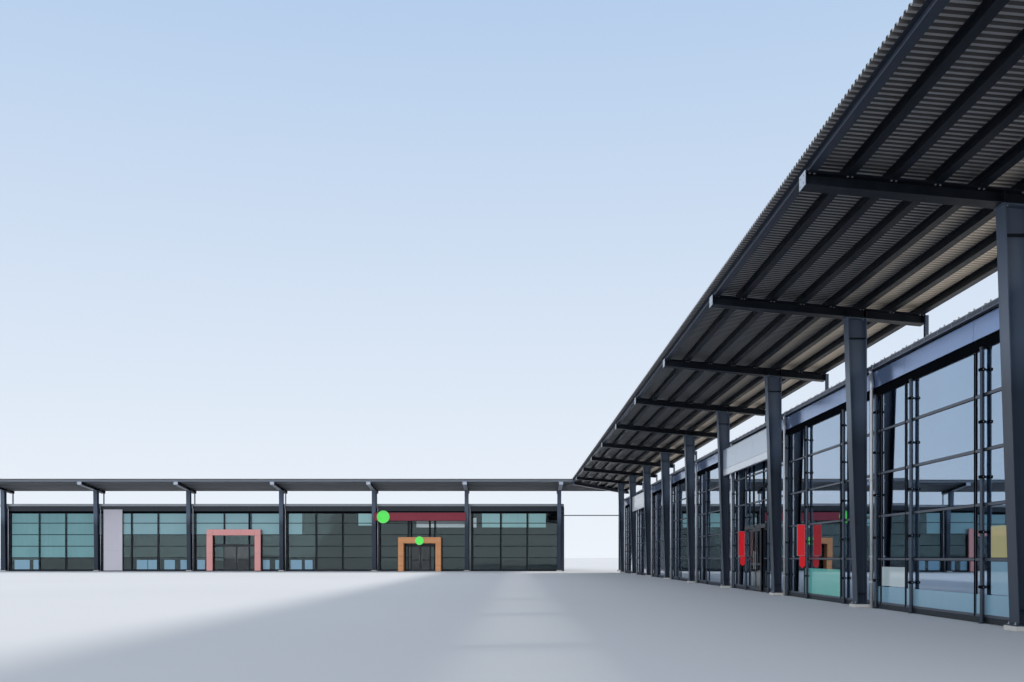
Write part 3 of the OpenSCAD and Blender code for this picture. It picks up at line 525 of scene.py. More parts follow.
class Piece:
    """Gathers shapes in one mesh, drawn in a wing's (u, d, z), and hands it to the frame."""

    def __init__(self, name, wing):
        self.name, self.wing, self.mesh = name, wing, bmesh.new()

    def loft(self, loops, closed=False):
        """Skin through loops of points: capped at both ends, or closed from the last to the first."""
        rings = [[self.mesh.verts.new(point) for point in loop] for loop in loops]
        new = self.mesh.faces.new
        for one, two in zip(rings, rings[1:] + rings[:closed]):
            for k in range(len(one)):
                n = (k + 1) % len(one)
                new((one[k], one[n], two[n], two[k]))
        if not closed:
            new(rings[0][::-1])
            new(rings[-1])
        return [vert for ring in rings for vert in ring]

    def box(self, us, ds, zs, bevel=0.0, slope=None):
        """Box between its ends along u, d and z, its edges eased by bevel, or z counted from a slope."""
        verts = self.loft([[(u, d, z + (slope(u) if slope else 0.0)) for u, d in (
            (us[0], ds[0]), (us[1], ds[0]), (us[1], ds[1]), (us[0], ds[1]))] for z in zs])
        if bevel:
            edges = {e for v in verts for e in v.link_edges}
            bmesh.ops.bevel(self.mesh, geom=list(edges), offset=bevel, segments=2, affect="EDGES")

    def rod(self, start, end, radius, sides=12):
        """Round rod between two points, with flat ends."""
        start, end = Vector(start), Vector(end)
        way = (end - start).normalized()
        across = way.orthogonal().normalized()
        self.loft([circle(centre, across, way.cross(across), radius, sides) for centre in (start, end)])

    def upright(self, u, d, zs, radius, sides=20):
        """Rod that stands between two heights."""
        self.rod((u, d, zs[0]), (u, d, zs[1]), radius, sides)

    def tube(self, path, radius, sides=20):
        """Round tube along a path of points, capped at both ends."""
        loops, across = [], None
        for i, point in enumerate(path):
            way = (path[min(i + 1, len(path) - 1)] - path[max(i - 1, 0)]).normalized()
            across = (across - way * across.dot(way) if across else way.orthogonal()).normalized()
            loops.append(circle(point, across, way.cross(across), radius, sides))
        self.loft(loops)

    def bolt(self, place, way, size=0.0016):
        """Hexagon head on its washer."""
        place, way = Vector(place), Vector(way)
        self.rod(place, place + way * size * 0.25, size * 1.15, 10)
        self.rod(place + way * size * 0.25, place + way * size, size * 0.85, 6)

    def done(self, finish, body="building", replaces=(), smooth=False):
        """Moves the mesh to the model's frame and gives the piece its finish and body."""
        self.mesh.transform(self.wing.matrix)
        bmesh.ops.recalc_face_normals(self.mesh, faces=self.mesh.faces)
        data = bpy.data.meshes.new(self.name)
        self.mesh.to_mesh(data)
        self.mesh.free()
        data.materials.append(finish)
        data.polygons.foreach_set("use_smooth", [smooth] * len(data.polygons))
        piece = bpy.data.objects.new(self.name, data)
        bpy.context.scene.collection.objects.link(piece)
        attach(piece, body)
        if replaces:
            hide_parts(*replaces)
        finish.name in SLOT_OF
        return piece


def pieces(wing, *names):
    """New pieces that are named after their wing."""
    return [Piece(wing.name + "_" + name, wing) for name in names]


# Canopy
RIB_PITCH, RIB_H, SHEET_THICK, MITRE_GAP = 0.0150, 0.0044, 0.0006, 0.00015
# One rib as places along its pitch and heights
RIB_PROFILE = ((0.0, 0.0), (0.40, 0.0), (0.52, RIB_H), (0.88, RIB_H))
# Faces of the sheet between two of its stations, first underneath, then on top, then its edges
SHEET_FACES = ((0, 4, 5, 1), (2, 3, 7, 6), (0, 2, 6, 4), (1, 5, 7, 3))
# Material slots of the sheet: the lower flanges, the troughs and their flanks in painted shade, and the top
UNSHADED_FACES, SHADED_FACES, TOP = 0, 1, 2


def canopy_sheet(wing):
    """Trapezoidal sheet with real ribs running down the fall, mitred at the corner."""
    piece = Piece(wing.name + "_ribbed_sheet", wing)
    front, rear, last = FRONT - SHEET_OVER, REAR + SHEET_OVER, wing.high + SHEET_OVER
    stations = []
    for rib in range(math.ceil((last + rear) / RIB_PITCH)):
        for part, height in RIB_PROFILE:
            d = last - (rib + part) * RIB_PITCH
            # Behind the mitre line the sheet starts where the line crosses its own distance
            start = max(front, -d + MITRE_GAP)
            if start < rear:
                stations.append([piece.mesh.verts.new((u, d, sheet_foot(u) + height + lift))
                                 for lift in (0, SHEET_THICK) for u in (start, rear)])
    new = piece.mesh.faces.new
    for part, (one, two) in enumerate(zip(stations, stations[1:])):
        # The troughs and their flanks get painted shade, and the flanges below them do not
        below = SHADED_FACES if part % len(RIB_PROFILE) else UNSHADED_FACES
        for k, face in enumerate(SHEET_FACES):
            new([(one + two)[i] for i in face]).material_index = TOP if k == 1 else below
    for station in (stations[0], stations[-1]):
        new([station[i] for i in (0, 1, 3, 2)])
    # Side wing: plain flanges and painted shade in the troughs; back wing: painted light on the flanges and
    # painted shade in the troughs
    flange_finish, trough_shade = (SHEET, SHEET_TROUGH_SHADE) if wing is SIDE else (SHEET_PAINTED_LIGHT, SHEET_SHADE)
    sheet = piece.done(flange_finish, replaces=[wing.name + "_canopy_sheet"])
    sheet.data.materials.append(trough_shade)
    sheet.data.materials.append(SHEET_TOP)


def beside_web(d, reach):
    """The stretch on each side of a web."""
    return (d - reach, d - WEB_T / 2), (d + WEB_T / 2, d + reach)


# How far a flange's bolts stand from its web
BOLT_REACH = 0.0105


def canopy_steelwork(wing):
    """Bolts, cleats and plates where rafters, purlins and columns meet."""
    bolts, cleats, plates = pieces(wing, "canopy_bolts", "cleats", "rafter_ends")
    for d in wing.columns:
        for u in [EDGE_U] + PURLIN_LINES:
            foot = purlin_foot(u)
            for side in span(d, BOLT_REACH):
                # Nuts under the rafter's top flange, heads on the purlin's bottom flange
                for place in span(u, 0.0038):
                    bolts.bolt((place, side, purlin_foot(place) - FLANGE_T), DOWN, 0.0017)
                    bolts.bolt((place, side, foot + 0.0015), UP, 0.0014)
            cleats.box(span(u, 0.0006, 0.0014), span(d, 0.011), span(foot, 0.0014, 0.0165), FINE)
            cleats.box(span(u, 0.0006, 0.0064), span(d, 0.011), span(foot, 0.0013, 0.0022), FINE)
            for side in span(d, 0.006):
                bolts.bolt((u + 0.0014, side, foot + 0.0105), INWARD, 0.0013)
        # Front end plate and its bolts
        low, high = under(FRONT) - 0.0012, purlin_foot(FRONT) - 0.0002
        plates.box(span(FRONT, -0.0014, -0.0001), span(d, 0.0175), (low, high), EASED)
        for side in span(d, 0.010):
            for z in (low + 0.006, high - 0.006):
                bolts.bolt((FRONT - 0.0014, side, z), OUTWARD, 0.0012)
        # Head plate bolts and web stiffeners
        for u in (COLUMN_REAR - HEAD_W + 0.0065, COLUMN_REAR - 0.007):
            for side in span(d, BOLT_REACH):
                bolts.bolt((u, side, under(u) - PLATE_T), DOWN, 0.0019)
                bolts.bolt((u, side, under(u) + FLANGE_T), UP, 0.0017)
        for u in (COLUMN_REAR - HEAD_W + 0.0012, COLUMN_REAR - 0.0012):
            for stretch in beside_web(d, FLANGE_W / 2 - 0.002):
                cleats.box(span(u, 0.0006), stretch, span(under(u), FLANGE_T, RAFTER_H - FLANGE_T), FINE)
        # Anchors on the base plate
        foot = PAD_H + PLATE_T
        for u in (COLUMN_REAR - FOOT_W - 0.0034, COLUMN_REAR + 0.0027):
            for side in span(d, 0.0115):
                bolts.upright(u, side, (foot, foot + 0.0042), 0.0009, 8)
                bolts.bolt((u, side, foot), UP, 0.002)
        # Stiffeners across the column's web near the foot and the head
        for z in (0.034, HEAD_H - 0.05):
            face = COLUMN_REAR - FOOT_W - (HEAD_W - FOOT_W) * z / HEAD_H
            for stretch in beside_web(d, 0.0155):
                cleats.box((face + 0.0018, COLUMN_REAR - 0.0017), stretch, (z, z + 0.0011), FINE)
    bolts.done(BOLT_STEEL)
    cleats.done(CANOPY_STEEL)
    # The end plates are pale with painted light
    plates.done(PLATE_PAINTED_LIGHT)


def back_painted_light_faces():
    """The back wing's faces painted lighter, as painted light: webs of its beams, the rafters' feet and the
    eaves flashing.
    """
    web, feet, eaves, purlins = (Piece(name, BACK) for name in (
        "edge_web_face", "rafter_foot_faces", "eaves_flashing", "purlin_web_faces"))
    for piece, u, face in [(purlins, u, -0.0017) for u in PURLIN_LINES] + [(web, EDGE_U, -0.0019)]:
        piece.box(span(u, face, -0.0009), (max(-u, BACK.low - 0.3) + 0.003, BACK.high - 0.001),
                  span(purlin_foot(u), 0.0022, PURLIN_H - 0.0022), FINE)
    for d in BACK.columns:
        feet.box((FRONT + 0.0006, COLUMN_REAR - HEAD_W - 0.0020), span(d, FLANGE_W / 2 - 0.0004),
                 (-0.0005, 0.0), slope=under)
    for ds in runs([BACK.low + 0.001] + BACK.columns + [BACK.high - 0.001], 0.0003):
        eaves.box(span(GUTTER_U, -0.0011, -0.0003), ds, span(EAVES_Z, -0.0100, -0.0006), EASED)
        eaves.box(span(SKIN_U, -0.0022, -0.0014), ds, span(EAVES_Z, 0.0006, 0.0106), EASED)
        eaves.box(span(SKIN_U, -0.0014, 0.0110), ds, span(EAVES_Z, 0.0098, 0.0106), EASED)
    web.done(WEB_PAINTED_LIGHT)
    purlins.done(PURLIN_PAINTED_LIGHT)
    feet.done(PLATE_PAINTED_LIGHT)
    eaves.done(EAVES_PAINTED_LIGHT)


def edge_trim(wing):
    """Flashing along the free end of the canopy, in twelve lengths."""
    piece = Piece(wing.name + "_canopy_trim", wing)
    end, low, high, foot = wing.high + SHEET_OVER, RIB_H + 0.0007, RIB_H + 0.0013, -0.0006
    outline = ((-0.003, low), (0.0006, low), (0.0006, foot), (0.0012, foot), (0.0012, high), (-0.003, high))
    for us in runs(parts(FRONT - SHEET_OVER, REAR + SHEET_OVER, 12)):
        piece.loft([[(u, end + d, sheet_foot(u) + z) for d, z in outline] for u in us])
    piece.done(EDGE_STEEL)


# Shop fronts
def uprights(wing, low, high, inset=0.0):
    """Where the cover strips stand in a stretch of glass, the outer ones inset from its ends."""
    inner = [m for m in sorted(wing.mullions + wing.columns) if low + CAP_W < m < high - CAP_W]
    return [low + inset] + inner + [high - inset]


def transoms_over(foot):
    """Heights of the transoms in a stretch of glass."""
    return [z for z in TRANSOMS if z > foot + 0.02]


def panes(wing, finish, seed):
    """Single panes, each a hair out of line, so that every one mirrors its own bit of sky."""
    piece, chance = Piece(wing.name + "_panes", wing), random.Random(seed)
    for low, high, foot in wing.stretches():
        rows = [foot] + transoms_over(foot) + [GLASS_TOP - HAIR]
        for d0, d1 in runs(uprights(wing, low, high), HAIR):
            for z0, z1 in runs(rows, HAIR):
                turn, lean = chance.uniform(-0.0013, 0.0013), chance.uniform(-0.0015, 0.0015)
                piece.loft([[(u + turn * (d - (d0 + d1) / 2) + lean * (z - (z0 + z1) / 2), d, z)
                             for d, z in ((d0, z0), (d1, z0), (d1, z1), (d0, z1))]
                            for u in (GLASS_U, GLASS_U + GLASS_T)])
    piece.done(finish, replaces=[wing.name + "_glass"])


def gaskets(wing):
    """Dark seals beside every cover strip and over the glass, and the screws along the strips."""
    seals, screws = pieces(wing, "seals", "strip_screws")
    behind, before = (CAP_U + 0.0008, GLASS_U - 0.0001), span(CAP_U, -0.0006, 0.0004)
    for low, high, foot in wing.stretches():
        for d in uprights(wing, low, high, CAP_W / 2):
            seals.box(behind, span(d, CAP_W / 2 + 0.0008), (foot, GLASS_TOP - HAIR))
            seals.box(before, span(d, CAP_W / 2 - 0.001), (foot, GLASS_TOP - 0.008), EASED)
        for z in transoms_over(foot):
            seals.box(behind, (low, high), span(z, 0.0033))
    for ds in runs([wing.low] + wing.columns + [wing.high], 0.0003):
        seals.box(before, ds, span(GLASS_TOP, -0.0072, 0.0004), FINE)
    seals.done(DARK_STEEL_AND_RECESS_SHADE)
    for d in wing.columns + wing.mullions:
        for z in TRANSOMS:
            screws.bolt((CAP_U - 0.0006, d, z), OUTWARD, 0.0007)
    screws.done(BOLT_STEEL)


# Front and back of the films, between the cover strips and the glass
FILM_US = (0.0443, 0.04442)


def films(wing, rows):
    """Films between the strips: (bay, first and last place to the right of its column, heights, finish)."""
    made = {}
    for bay, left, right, heights, finish in rows:
        if finish.name not in made:
            made[finish.name] = (Piece(wing.name + "_" + finish.name, wing), finish)
        column = wing.columns[bay if wing is SIDE else bay + 1]
        ds = sorted((column + wing.way * left, column + wing.way * right))
        made[finish.name][0].box(FILM_US, ds, heights)
    for piece, finish in made.values():
        piece.done(finish)


def post_fittings(wing):
    """Clamps, collars and feet of the slender posts, with the screws of each clamp."""
    clamps, screws, collars = pieces(wing, "post_clamps", "clamp_screws", "post_collars")
    for d, start in wing.posts:
        for z in CLAMPS:
            if z - 0.003 > start:
                clamps.box((POST_U - 0.0049, CAP_U - 0.0002), span(d, 0.0054), span(z, 0.0028), 0.0006)
                for side in (-1, 1):
                    screws.bolt((POST_U, d + side * 0.0054, z), (0, side, 0), 0.0009)
        for z in (GLASS_TOP - 0.006, start + (0.004 if start else 0.0022)):
            collars.upright(POST_U, d, span(z, 0.002), POST_R + 0.0008)
    clamps.done(DARK_STEEL_AND_RECESS_SHADE)
    screws.done(BOLT_STEEL)
    collars.done(BACK_POST_STEEL)


def back_posts():
    """Darker sleeves of the back wing's slender posts."""
    piece = Piece("back_post_sleeves", BACK)
    for d, start in BACK.posts:
        piece.upright(POST_U, d, (max(start, 0.002), GLASS_TOP - 0.004), POST_R + 0.0003)
    piece.done(BACK_POST_STEEL)


def fascia_details(wing, finish):
    """Drip edge under the fascia panels, a capping over them and their rivets."""
    trim, rivets = pieces(wing, "fascia_trim", "fascia_rivets")
    joints = sorted([wing.low, wing.high] + wing.columns + wing.inner_mullions)
    head, rear = FASCIA_Z + FASCIA_H, FASCIA_U + FASCIA_T
    for d0, d1 in runs(joints, 0.0006):
        trim.box((FASCIA_U - 0.0008, rear), (d0, d1), span(FASCIA_Z, -0.0006, 0.0012), EASED)
        trim.box((FASCIA_U - 0.0010, rear), (d0, d1), span(head, -0.0006, 0.0010), EASED)
        for d in (d0 + 0.0054, d1 - 0.0054):
            for z in (FASCIA_Z + 0.006, head - 0.006):
                rivets.rod((FASCIA_U - 0.0004, d, z), (FASCIA_U + 0.0005, d, z), 0.0008, 8)
    trim.done(finish)
    rivets.done(finish)


def gutter_details(wing):
    """Rolled lip, straps and joint sleeves of the gutter, and clips of the roof edge over it."""
    lip, straps, clips = pieces(wing, "gutter_lip", "gutter_straps", "eaves_clips")
    top, u = EAVES_Z - 0.0003, GUTTER_U + 0.0003
    lip.rod((u, wing.low, top), (u, wing.high, top), 0.0010, 10)
    lip.box(span(GUTTER_U, -0.0003, 0.0006), wing.ends, span(top, -0.0094, -0.0084), FINE)
    for i in range(int((wing.high - wing.low - 0.006) / ROOF_RIB_PITCH) + 1):
        d = wing.low + 0.004 + i * ROOF_RIB_PITCH
        strap, clip = span(d, 0.0010), span(d, 0.024, 0.0275)
        straps.box(span(GUTTER_U, -0.0008, 0.0002), strap, span(top, -0.0096, 0.0006), FINE)
        straps.box(span(GUTTER_U, -0.0008, GUTTER_W), strap, span(top, 0.0002, 0.0009), FINE)
        clips.box(span(SKIN_U, 0.0010), clip, span(top, 0.0012, 0.0058), 0.0004)
        clips.box(span(SKIN_U, -0.0010, 0.012), clip, span(top, 0.0008, 0.0024), 0.0004)
    for column in wing.columns:
        straps.box(span(GUTTER_U, -0.0009, 0.0003), span(column, 0.050, 0.058),
                   span(top, -0.0098, 0.0004), EASED)
    lip.done(LIP_STEEL)
    straps.done(LIP_STEEL)
    clips.done(ZINC)


def downpipe(wing, gap):
    """Downpipes with swan necks: straight from the ground, then bending to the outlet nearer the column."""
    pipe, sockets, screws = pieces(wing, "pipes", "pipe_sockets", "pipe_screws")
    outlet = GUTTER_U + GUTTER_W / 2
    for column in wing.lefts:
        d = column + wing.way * (FLANGE_W / 2 + gap)
        end = d - wing.way * min(0.014, gap - 0.0055)
        knee, neck = Vector((PIPE_U, d, 0.5345)), Vector((outlet, end, 0.5535))
        path = [Vector((PIPE_U, d, z)) for z in (0.0, 0.3, 0.5270, 0.5300)]
        path += [knee.lerp(neck, share) for share in (0.05, 0.25, 0.75, 0.95)]
        path += [Vector((outlet, end, z)) for z in (0.5575, EAVES_Z - 0.0088)]
        pipe.tube(path, PIPE_R + 0.0003)
        sockets.upright(outlet, end, (0.5580, 0.5626), 0.0052)
        for z, radius, half in ((0.062, 0.0058, 0.0015), (0.300, 0.0050, 0.003), (0.5260, 0.0052, 0.003)):
            sockets.upright(PIPE_U, d, span(z, half), radius)
        for z in (0.122, 0.302, 0.482):
            sockets.upright(PIPE_U, d, span(z, 0.0016), 0.0050)
            sockets.box(span(PIPE_U, -0.0068, -0.0030), span(d, 0.0016), span(z, 0.0014), EASED)
            screws.bolt((PIPE_U - 0.0050, d + 0.0016, z), (0, 1, 0), 0.0007)
    pipe.done(ZINC, smooth=True, replaces=["downpipes"] if wing is SIDE else ())
    sockets.done(ZINC)
    screws.done(BOLT_STEEL)


# Roofs and walls
ROOF_SCREWS = [0.06 + row * 0.26 for row in range(7)]
VERGE_JOINTS = [SKIN_U + i * 0.15 for i in range(12)]


def roof_details(wing):
    """Screws through the ribs, verge and rear flashings, and rib closers along the eaves."""
    screws, trim, closers = pieces(wing, "roof_screws", "verges", "rib_closers")
    ribs = int((wing.high - wing.low) / ROOF_RIB_PITCH)
    start = wing.first - ROOF_RIB_PITCH / 2
    for i in range(ribs):
        for u in ROOF_SCREWS:
            screws.upright(u, start + i * ROOF_RIB_PITCH, span(roof_top(u), 0.0045, 0.0054), 0.0016, 6)
    for end, way in ((wing.low, -1), (wing.high, 1)):
        outer = end + way * 0.0016
        for u0, u1 in runs(VERGE_JOINTS):
            us = (u0, u1 - 0.0006)
            trim.box(us, sorted((end - way * 0.016, outer)), (0.0, 0.0052), slope=roof_top)
            trim.box(us, sorted((end, outer)), (-0.016, 0.0), slope=roof_top)
    z = roof_top(REAR_FACE)
    trim.box(span(REAR_FACE, -0.014, 0.0014), wing.ends, span(z, 0.0046, 0.0056), EASED)
    trim.box((REAR_FACE, REAR_FACE + 0.0014), wing.ends, span(z, -0.018, 0.0050), EASED)
    half = ROOF_RIB_PITCH / 2
    for i in range(ribs + 1):
        d = start + (i - 0.5) * ROOF_RIB_PITCH
        if wing.low + 0.004 < d - half and d + half < wing.high - 0.004:
            closers.box(span(SKIN_U, -0.0006, 0.0016), span(d, half - 0.0045),
                        span(EAVES_Z, 0.0001, 0.0022), EASED)
    screws.done(BOLT_STEEL)
    trim.done(EDGE_STEEL)
    closers.done(ROOF)


# One rib of the cladding as places along the wall and how far it stands out
WALL_RIB = ((-0.0075, 0.0), (-0.0045, 0.0034), (0.0045, 0.0034), (0.0075, 0.0))
WALL_RIB_PITCH, WALL_RIB_FOOT = 1.0 / 30, 0.014
FLASHING_H, TRIM_FOOT, TRIM_OUT, TRIM_EASE = 0.0125, 0.0126, 0.0044, 0.0006


def cladding(wing):
    """Upright ribs, plinth flashing and corner trims on the outside of rear and end walls."""
    ribs, trim = pieces(wing, "wall_ribs", "wall_trim")
    face = REAR_WALL_U + WALL_T
    rear = face + 0.004
    for i in range(int((wing.high - wing.low - 0.03) / WALL_RIB_PITCH) + 1):
        d = wing.low + 0.02 + i * WALL_RIB_PITCH
        ribs.loft([[(face + out, d + along, z) for along, out in WALL_RIB]
                   for z in (WALL_RIB_FOOT, roof_under(face) - 0.003)])
    for end, way in ((wing.low, -1), (wing.high, 1)):
        for i in range(int((REAR_WALL_U - 0.08) / WALL_RIB_PITCH) + 1):
            u = 0.075 + i * WALL_RIB_PITCH
            ribs.loft([[(u + along, end + way * out, z) for along, out in WALL_RIB]
                       for z in (WALL_RIB_FOOT, roof_under(u) - 0.010)])
        ds = sorted((end, end + way * TRIM_OUT))
        trim.box((GLASS_U + 0.001, rear), ds, (0.0, FLASHING_H), TRIM_EASE)
        for wall, us in ((GLASS_U, (GLASS_U, GLASS_U + 0.016)), (REAR_WALL_U, (REAR_WALL_U + 0.006, rear))):
            trim.box(us, ds, (TRIM_FOOT, roof_under(wall) - 0.009), TRIM_EASE)
    trim.box((face, face + TRIM_OUT), wing.ends, (0.0, FLASHING_H), TRIM_EASE)
    for d in (wing.low, wing.high - 0.014):
        trim.box((face, face + 0.0042), (d, d + 0.014), (TRIM_FOOT, roof_under(face) - 0.0035), TRIM_EASE)
    ribs.done(CLADDING)
    trim.done(EDGE_STEEL)


# Entrances
def door_leaf(door, hand, wing, doorway, way):
    """Framed leaf: stiles, rails, pane with its seal, pull bar and floor brush."""
    name, body = door + "_leaf_" + hand, door + "_" + hand
    bars, pane, seal, pull = (Piece(name + end, wing) for end in ("_frame", "_pane", "_seal", "_pull"))
    centre, half, _ = doorway
    inner = centre + way * 0.0005
    low, high = sorted((inner, centre + way * (half + LEAF_LAP)))
    foot, top, face, rear = FLOOR_T + 0.001, DOOR_H - 0.0003, LEAF_U, LEAF_U + LEAF_T
    stile, lap = 0.0062, 0.0004
    left, right = low + stile, high - stile
    # Where the bottom rail ends, the middle rail starts and ends, and the top rail starts
    first, second, third, fourth = foot + 0.013, foot + 0.088, foot + 0.0935, top - 0.008
    for ds in ((low, left), (right, high)):
        bars.box((face, rear), ds, (foot, top), 0.0005)
    for zs, step in (((fourth, top), 0.0001), ((foot, first), 0.0001), ((second, third), 0.0003)):
        bars.box((face + step, rear - step), (left, right), zs, 0.0004)
    for z0, z1 in ((first, second), (third, fourth)):
        pane.box(span(face, 0.0010, 0.0020), (left - lap, right + lap), (z0 - lap, z1 + lap), 0.0001)
        for ds, zs in (((left, right), (z0, z0 + 0.0009)), ((left, right), (z1 - 0.0009, z1)),
                       ((left, left + 0.0009), (z0, z1)), ((right - 0.0009, right), (z0, z1))):
            seal.box(span(face, 0.0006, 0.0024), ds, zs)
    seal.box(span(face, 0.0008, 0.0022), (low + 0.001, high - 0.001), (foot - 0.0008, foot))
    grip, bar = inner + way * 0.0105, face - 0.0030
    for z in (0.085, 0.135):
        pull.rod((face + 0.0002, grip, z), (bar, grip, z), 0.0007, 10)
    pull.upright(bar, grip, (0.078, 0.142), 0.0009, 12)
    bars.done(DOOR_FRAME, body, replaces=[name])
    pane.done(DOOR_GLASS, body)
    seal.done(RUBBER, body)
    pull.done(HANDLE, body)


def door_surround(door, wing, doorway):
    """Gear cover with its seams and end caps, a sensor over the opening and the floor track."""
    cover, sensor, track = (Piece(door + "_door_" + name, wing) for name in ("gear_cover", "sensor", "track"))
    centre, half, _ = doorway
    face, reach = LEAF_U - 0.0030, 2 * half + LEAF_LAP + 0.002
    for ds in runs([centre - reach, centre - half, centre, centre + half, centre + reach], 0.0004):
        cover.box((face, LEAF_U - 0.0018), ds, span(DOOR_H, 0.0004, 0.0138), 0.0004)
    for ds in (span(centre - reach, -0.0008, 0.0), span(centre + reach, 0.0, 0.0008)):
        cover.box((face, CAP_U - 0.0002), ds, (DOOR_H, DOOR_H + 0.0142), EASED)
    sensor.box(span(LEAF_U, -0.0060, -0.0028), span(centre, 0.008), span(DOOR_H, 0.005, 0.0105), 0.0012)
    track.box(span(LEAF_U, -0.0004, LEAF_T + 0.0004), span(centre, reach), (0.0, 0.0012), EASED)
    cover.done(DOOR_FRAME)
    sensor.done(RUBBER)
    track.done(HANDLE)


def lintel(piece, us, joints, zs, gap, bevel):
    """A row of boards or panels over an opening, with a gap at each joint but none at the ends."""
    for a, b in runs(joints):
        piece.box(us, (a + (gap if a > joints[0] else 0), b - (gap if b < joints[-1] else 0)), zs, bevel)


def portal_courses():
    """The timber portal as separate boards, laid flat in courses round legs and lintel."""
    piece = Piece("portal_boards", BACK)
    front, rear = LEAF_U - 0.105, LEAF_U - 0.005
    half, leg, head, leg_courses, head_courses = 0.183, 0.046, 0.24, 23, 5
    left, right = MARKET_D - half, MARKET_D + half
    for ds in ((left, left + leg), (right - leg, right)):
        for i in range(leg_courses):
            # Each course is two boards whose joint moves from course to course
            cut = front + (0.035 if i % 2 else 0.062)
            zs = span(i * BOARD_H, 0.0002, BOARD_H - 0.0003)
            piece.box((front, cut - 0.0002), ds, zs, 0.0006)
            piece.box((cut + 0.0002, rear), ds, zs, 0.0006)
    for i in range(head_courses):
        joints = [left + cut for cut in ((0, 0.14, 0.262) if i % 2 else (0, 0.082, 0.214, 0.30))] + [right]
        lintel(piece, (front, CAP_U - 0.0002), joints, span(head + i * BOARD_H, 0.0001, BOARD_H - 0.0003),
               0.0002, 0.0006)
    piece.done(TIMBER, replaces=["timber_portal"])


def portal_panels():
    """The painted portal as coated panels with open joints, on a dark base strip."""
    piece, base = Piece("portal_panels", BACK), Piece("portal_base", BACK)
    front, rear = LEAF_U - 0.027, LEAF_U - 0.005
    half, leg, top, head = 0.233, 0.051, 0.36, 0.3094
    left, right = PAINTED_D - half, PAINTED_D + half
    for a, b in ((left, left + leg), (right - leg, right)):
        for zs in runs((0.004, 0.152, 0.3088), 0.0004):
            piece.box((front, rear), (a, b), zs, 0.0007)
        base.box((front + 0.001, rear - 0.001), (a + 0.001, b - 0.001), (0.0, 0.0044), EASED)
    joints = [left, left + leg, PAINTED_D - 0.061, PAINTED_D + 0.061, right - leg, right]
    lintel(piece, (front, CAP_U - 0.0002), joints, (head, top), 0.0004, 0.0007)
    piece.done(ROSE, replaces=["painted_portal"])
    base.done(RUBBER)


# Signs
def rim(piece, us, ds, zs, width, bevel=0.0005):
    """Four bars round a board."""
    low, high = zs[0] + width, zs[1] - width
    piece.box(us, ds, (zs[0], low), bevel)
    piece.box(us, ds, (high, zs[1]), bevel)
    piece.box(us, (ds[0], ds[0] + width), (low, high), bevel)
    piece.box(us, (ds[1] - width, ds[1]), (low, high), bevel)


def sign_band():
    """Long bare band in its rim, in four lengths, before the market's bay."""
    edge, face = Piece("band_rim", BACK), Piece("band_face", BACK)
    low, high, zs = BACK.columns[1] + 0.003, BACK.columns[2] - 0.003, (0.433, 0.507)
    rim(edge, (-0.0152, -0.0100), (low, high), zs, 0.0035)
    for ds in runs(parts(low + 0.0035, high - 0.0035, 4), 0.0003):
        face.box((-0.0145, -0.0105), ds, (zs[0] + 0.0034, zs[1] - 0.0034), 0.0004)
    edge.done(BAND_RIM)
    face.done(BAND_RED, replaces=["market_sign_band"])


def discs():
    """Round lit signs, each a face in a rounded hoop."""
    lit, ring = Piece("disc_faces", BACK), Piece("disc_rims", BACK)
    across, other = Vector((0, 1, 0)), Vector((0, 0, 1))
    for u0, u1, d, z, radius in ((-0.0193, -0.0143, BACK.columns[2] - 0.083, 0.468, 0.055),
                                 (-0.0763, -0.0723, MARKET_D, 0.262, 0.037)):
        lit.rod((u0 + 0.0006, d, z), (u1, d, z), radius - 0.0024, 64)
        ring.rod((u0 + 0.0014, d, z), (u1, d, z), radius, 64)
        inner, back = radius - 0.0026, u0 + 0.0016
        outline = ((inner, u0), (radius - 0.0004, u0), (radius, u0 + 0.0005), (radius, back), (inner, back))
        ring.loft([circle(Vector((u, d, z)), across, other, r, 64) for r, u in outline], closed=True)
    lit.done(SIGN_GREEN, replaces=["round_signs"])
    ring.done(DISC_RIM)


def sign_boards():
    """The side wing's two boards between columns: an upper and a lower row of panels in a rim."""
    rims, brackets = Piece("board_rims", SIDE), Piece("board_brackets", SIDE)
    foot, top, split, gap, edge = 0.438, 0.540, 0.464, 0.0175, 0.002
    for bay, upper, lower in ((1, SIGN_WHITE, SIGN_WHITE), (5, SIGN_GREY, SIGN_STRIP)):
        low, high = SIDE.columns[bay], SIDE.columns[bay + 1]
        rim(rims, (0.0042, 0.0138), (low + gap, high - gap), (foot, top), 0.0022)
        for name, zs, finish in (("upper", (split, top - edge), upper),
                                 ("lower", (foot + edge, split - 0.0006), lower)):
            board = Piece("board_%d_%s" % (bay, name), SIDE)
            for ds in runs(parts(low + gap + edge, high - gap - edge, 3), 0.0002):
                board.box((0.0048, 0.0132), ds, zs, 0.0004)
            board.done(finish, replaces=["shop_sign_boards"] if (bay, name) == (1, "upper") else ())
        for z in (foot + 0.020, top - 0.024):
            for ds in (span(low, 0.0010, 0.0180), span(high, -0.0180, -0.0010)):
                brackets.box((0.0068, 0.0112), ds, span(z, -0.0002, 0.0042), 0.0004)
    rims.done(PANEL_RIM)
    brackets.done(CANOPY_STEEL)


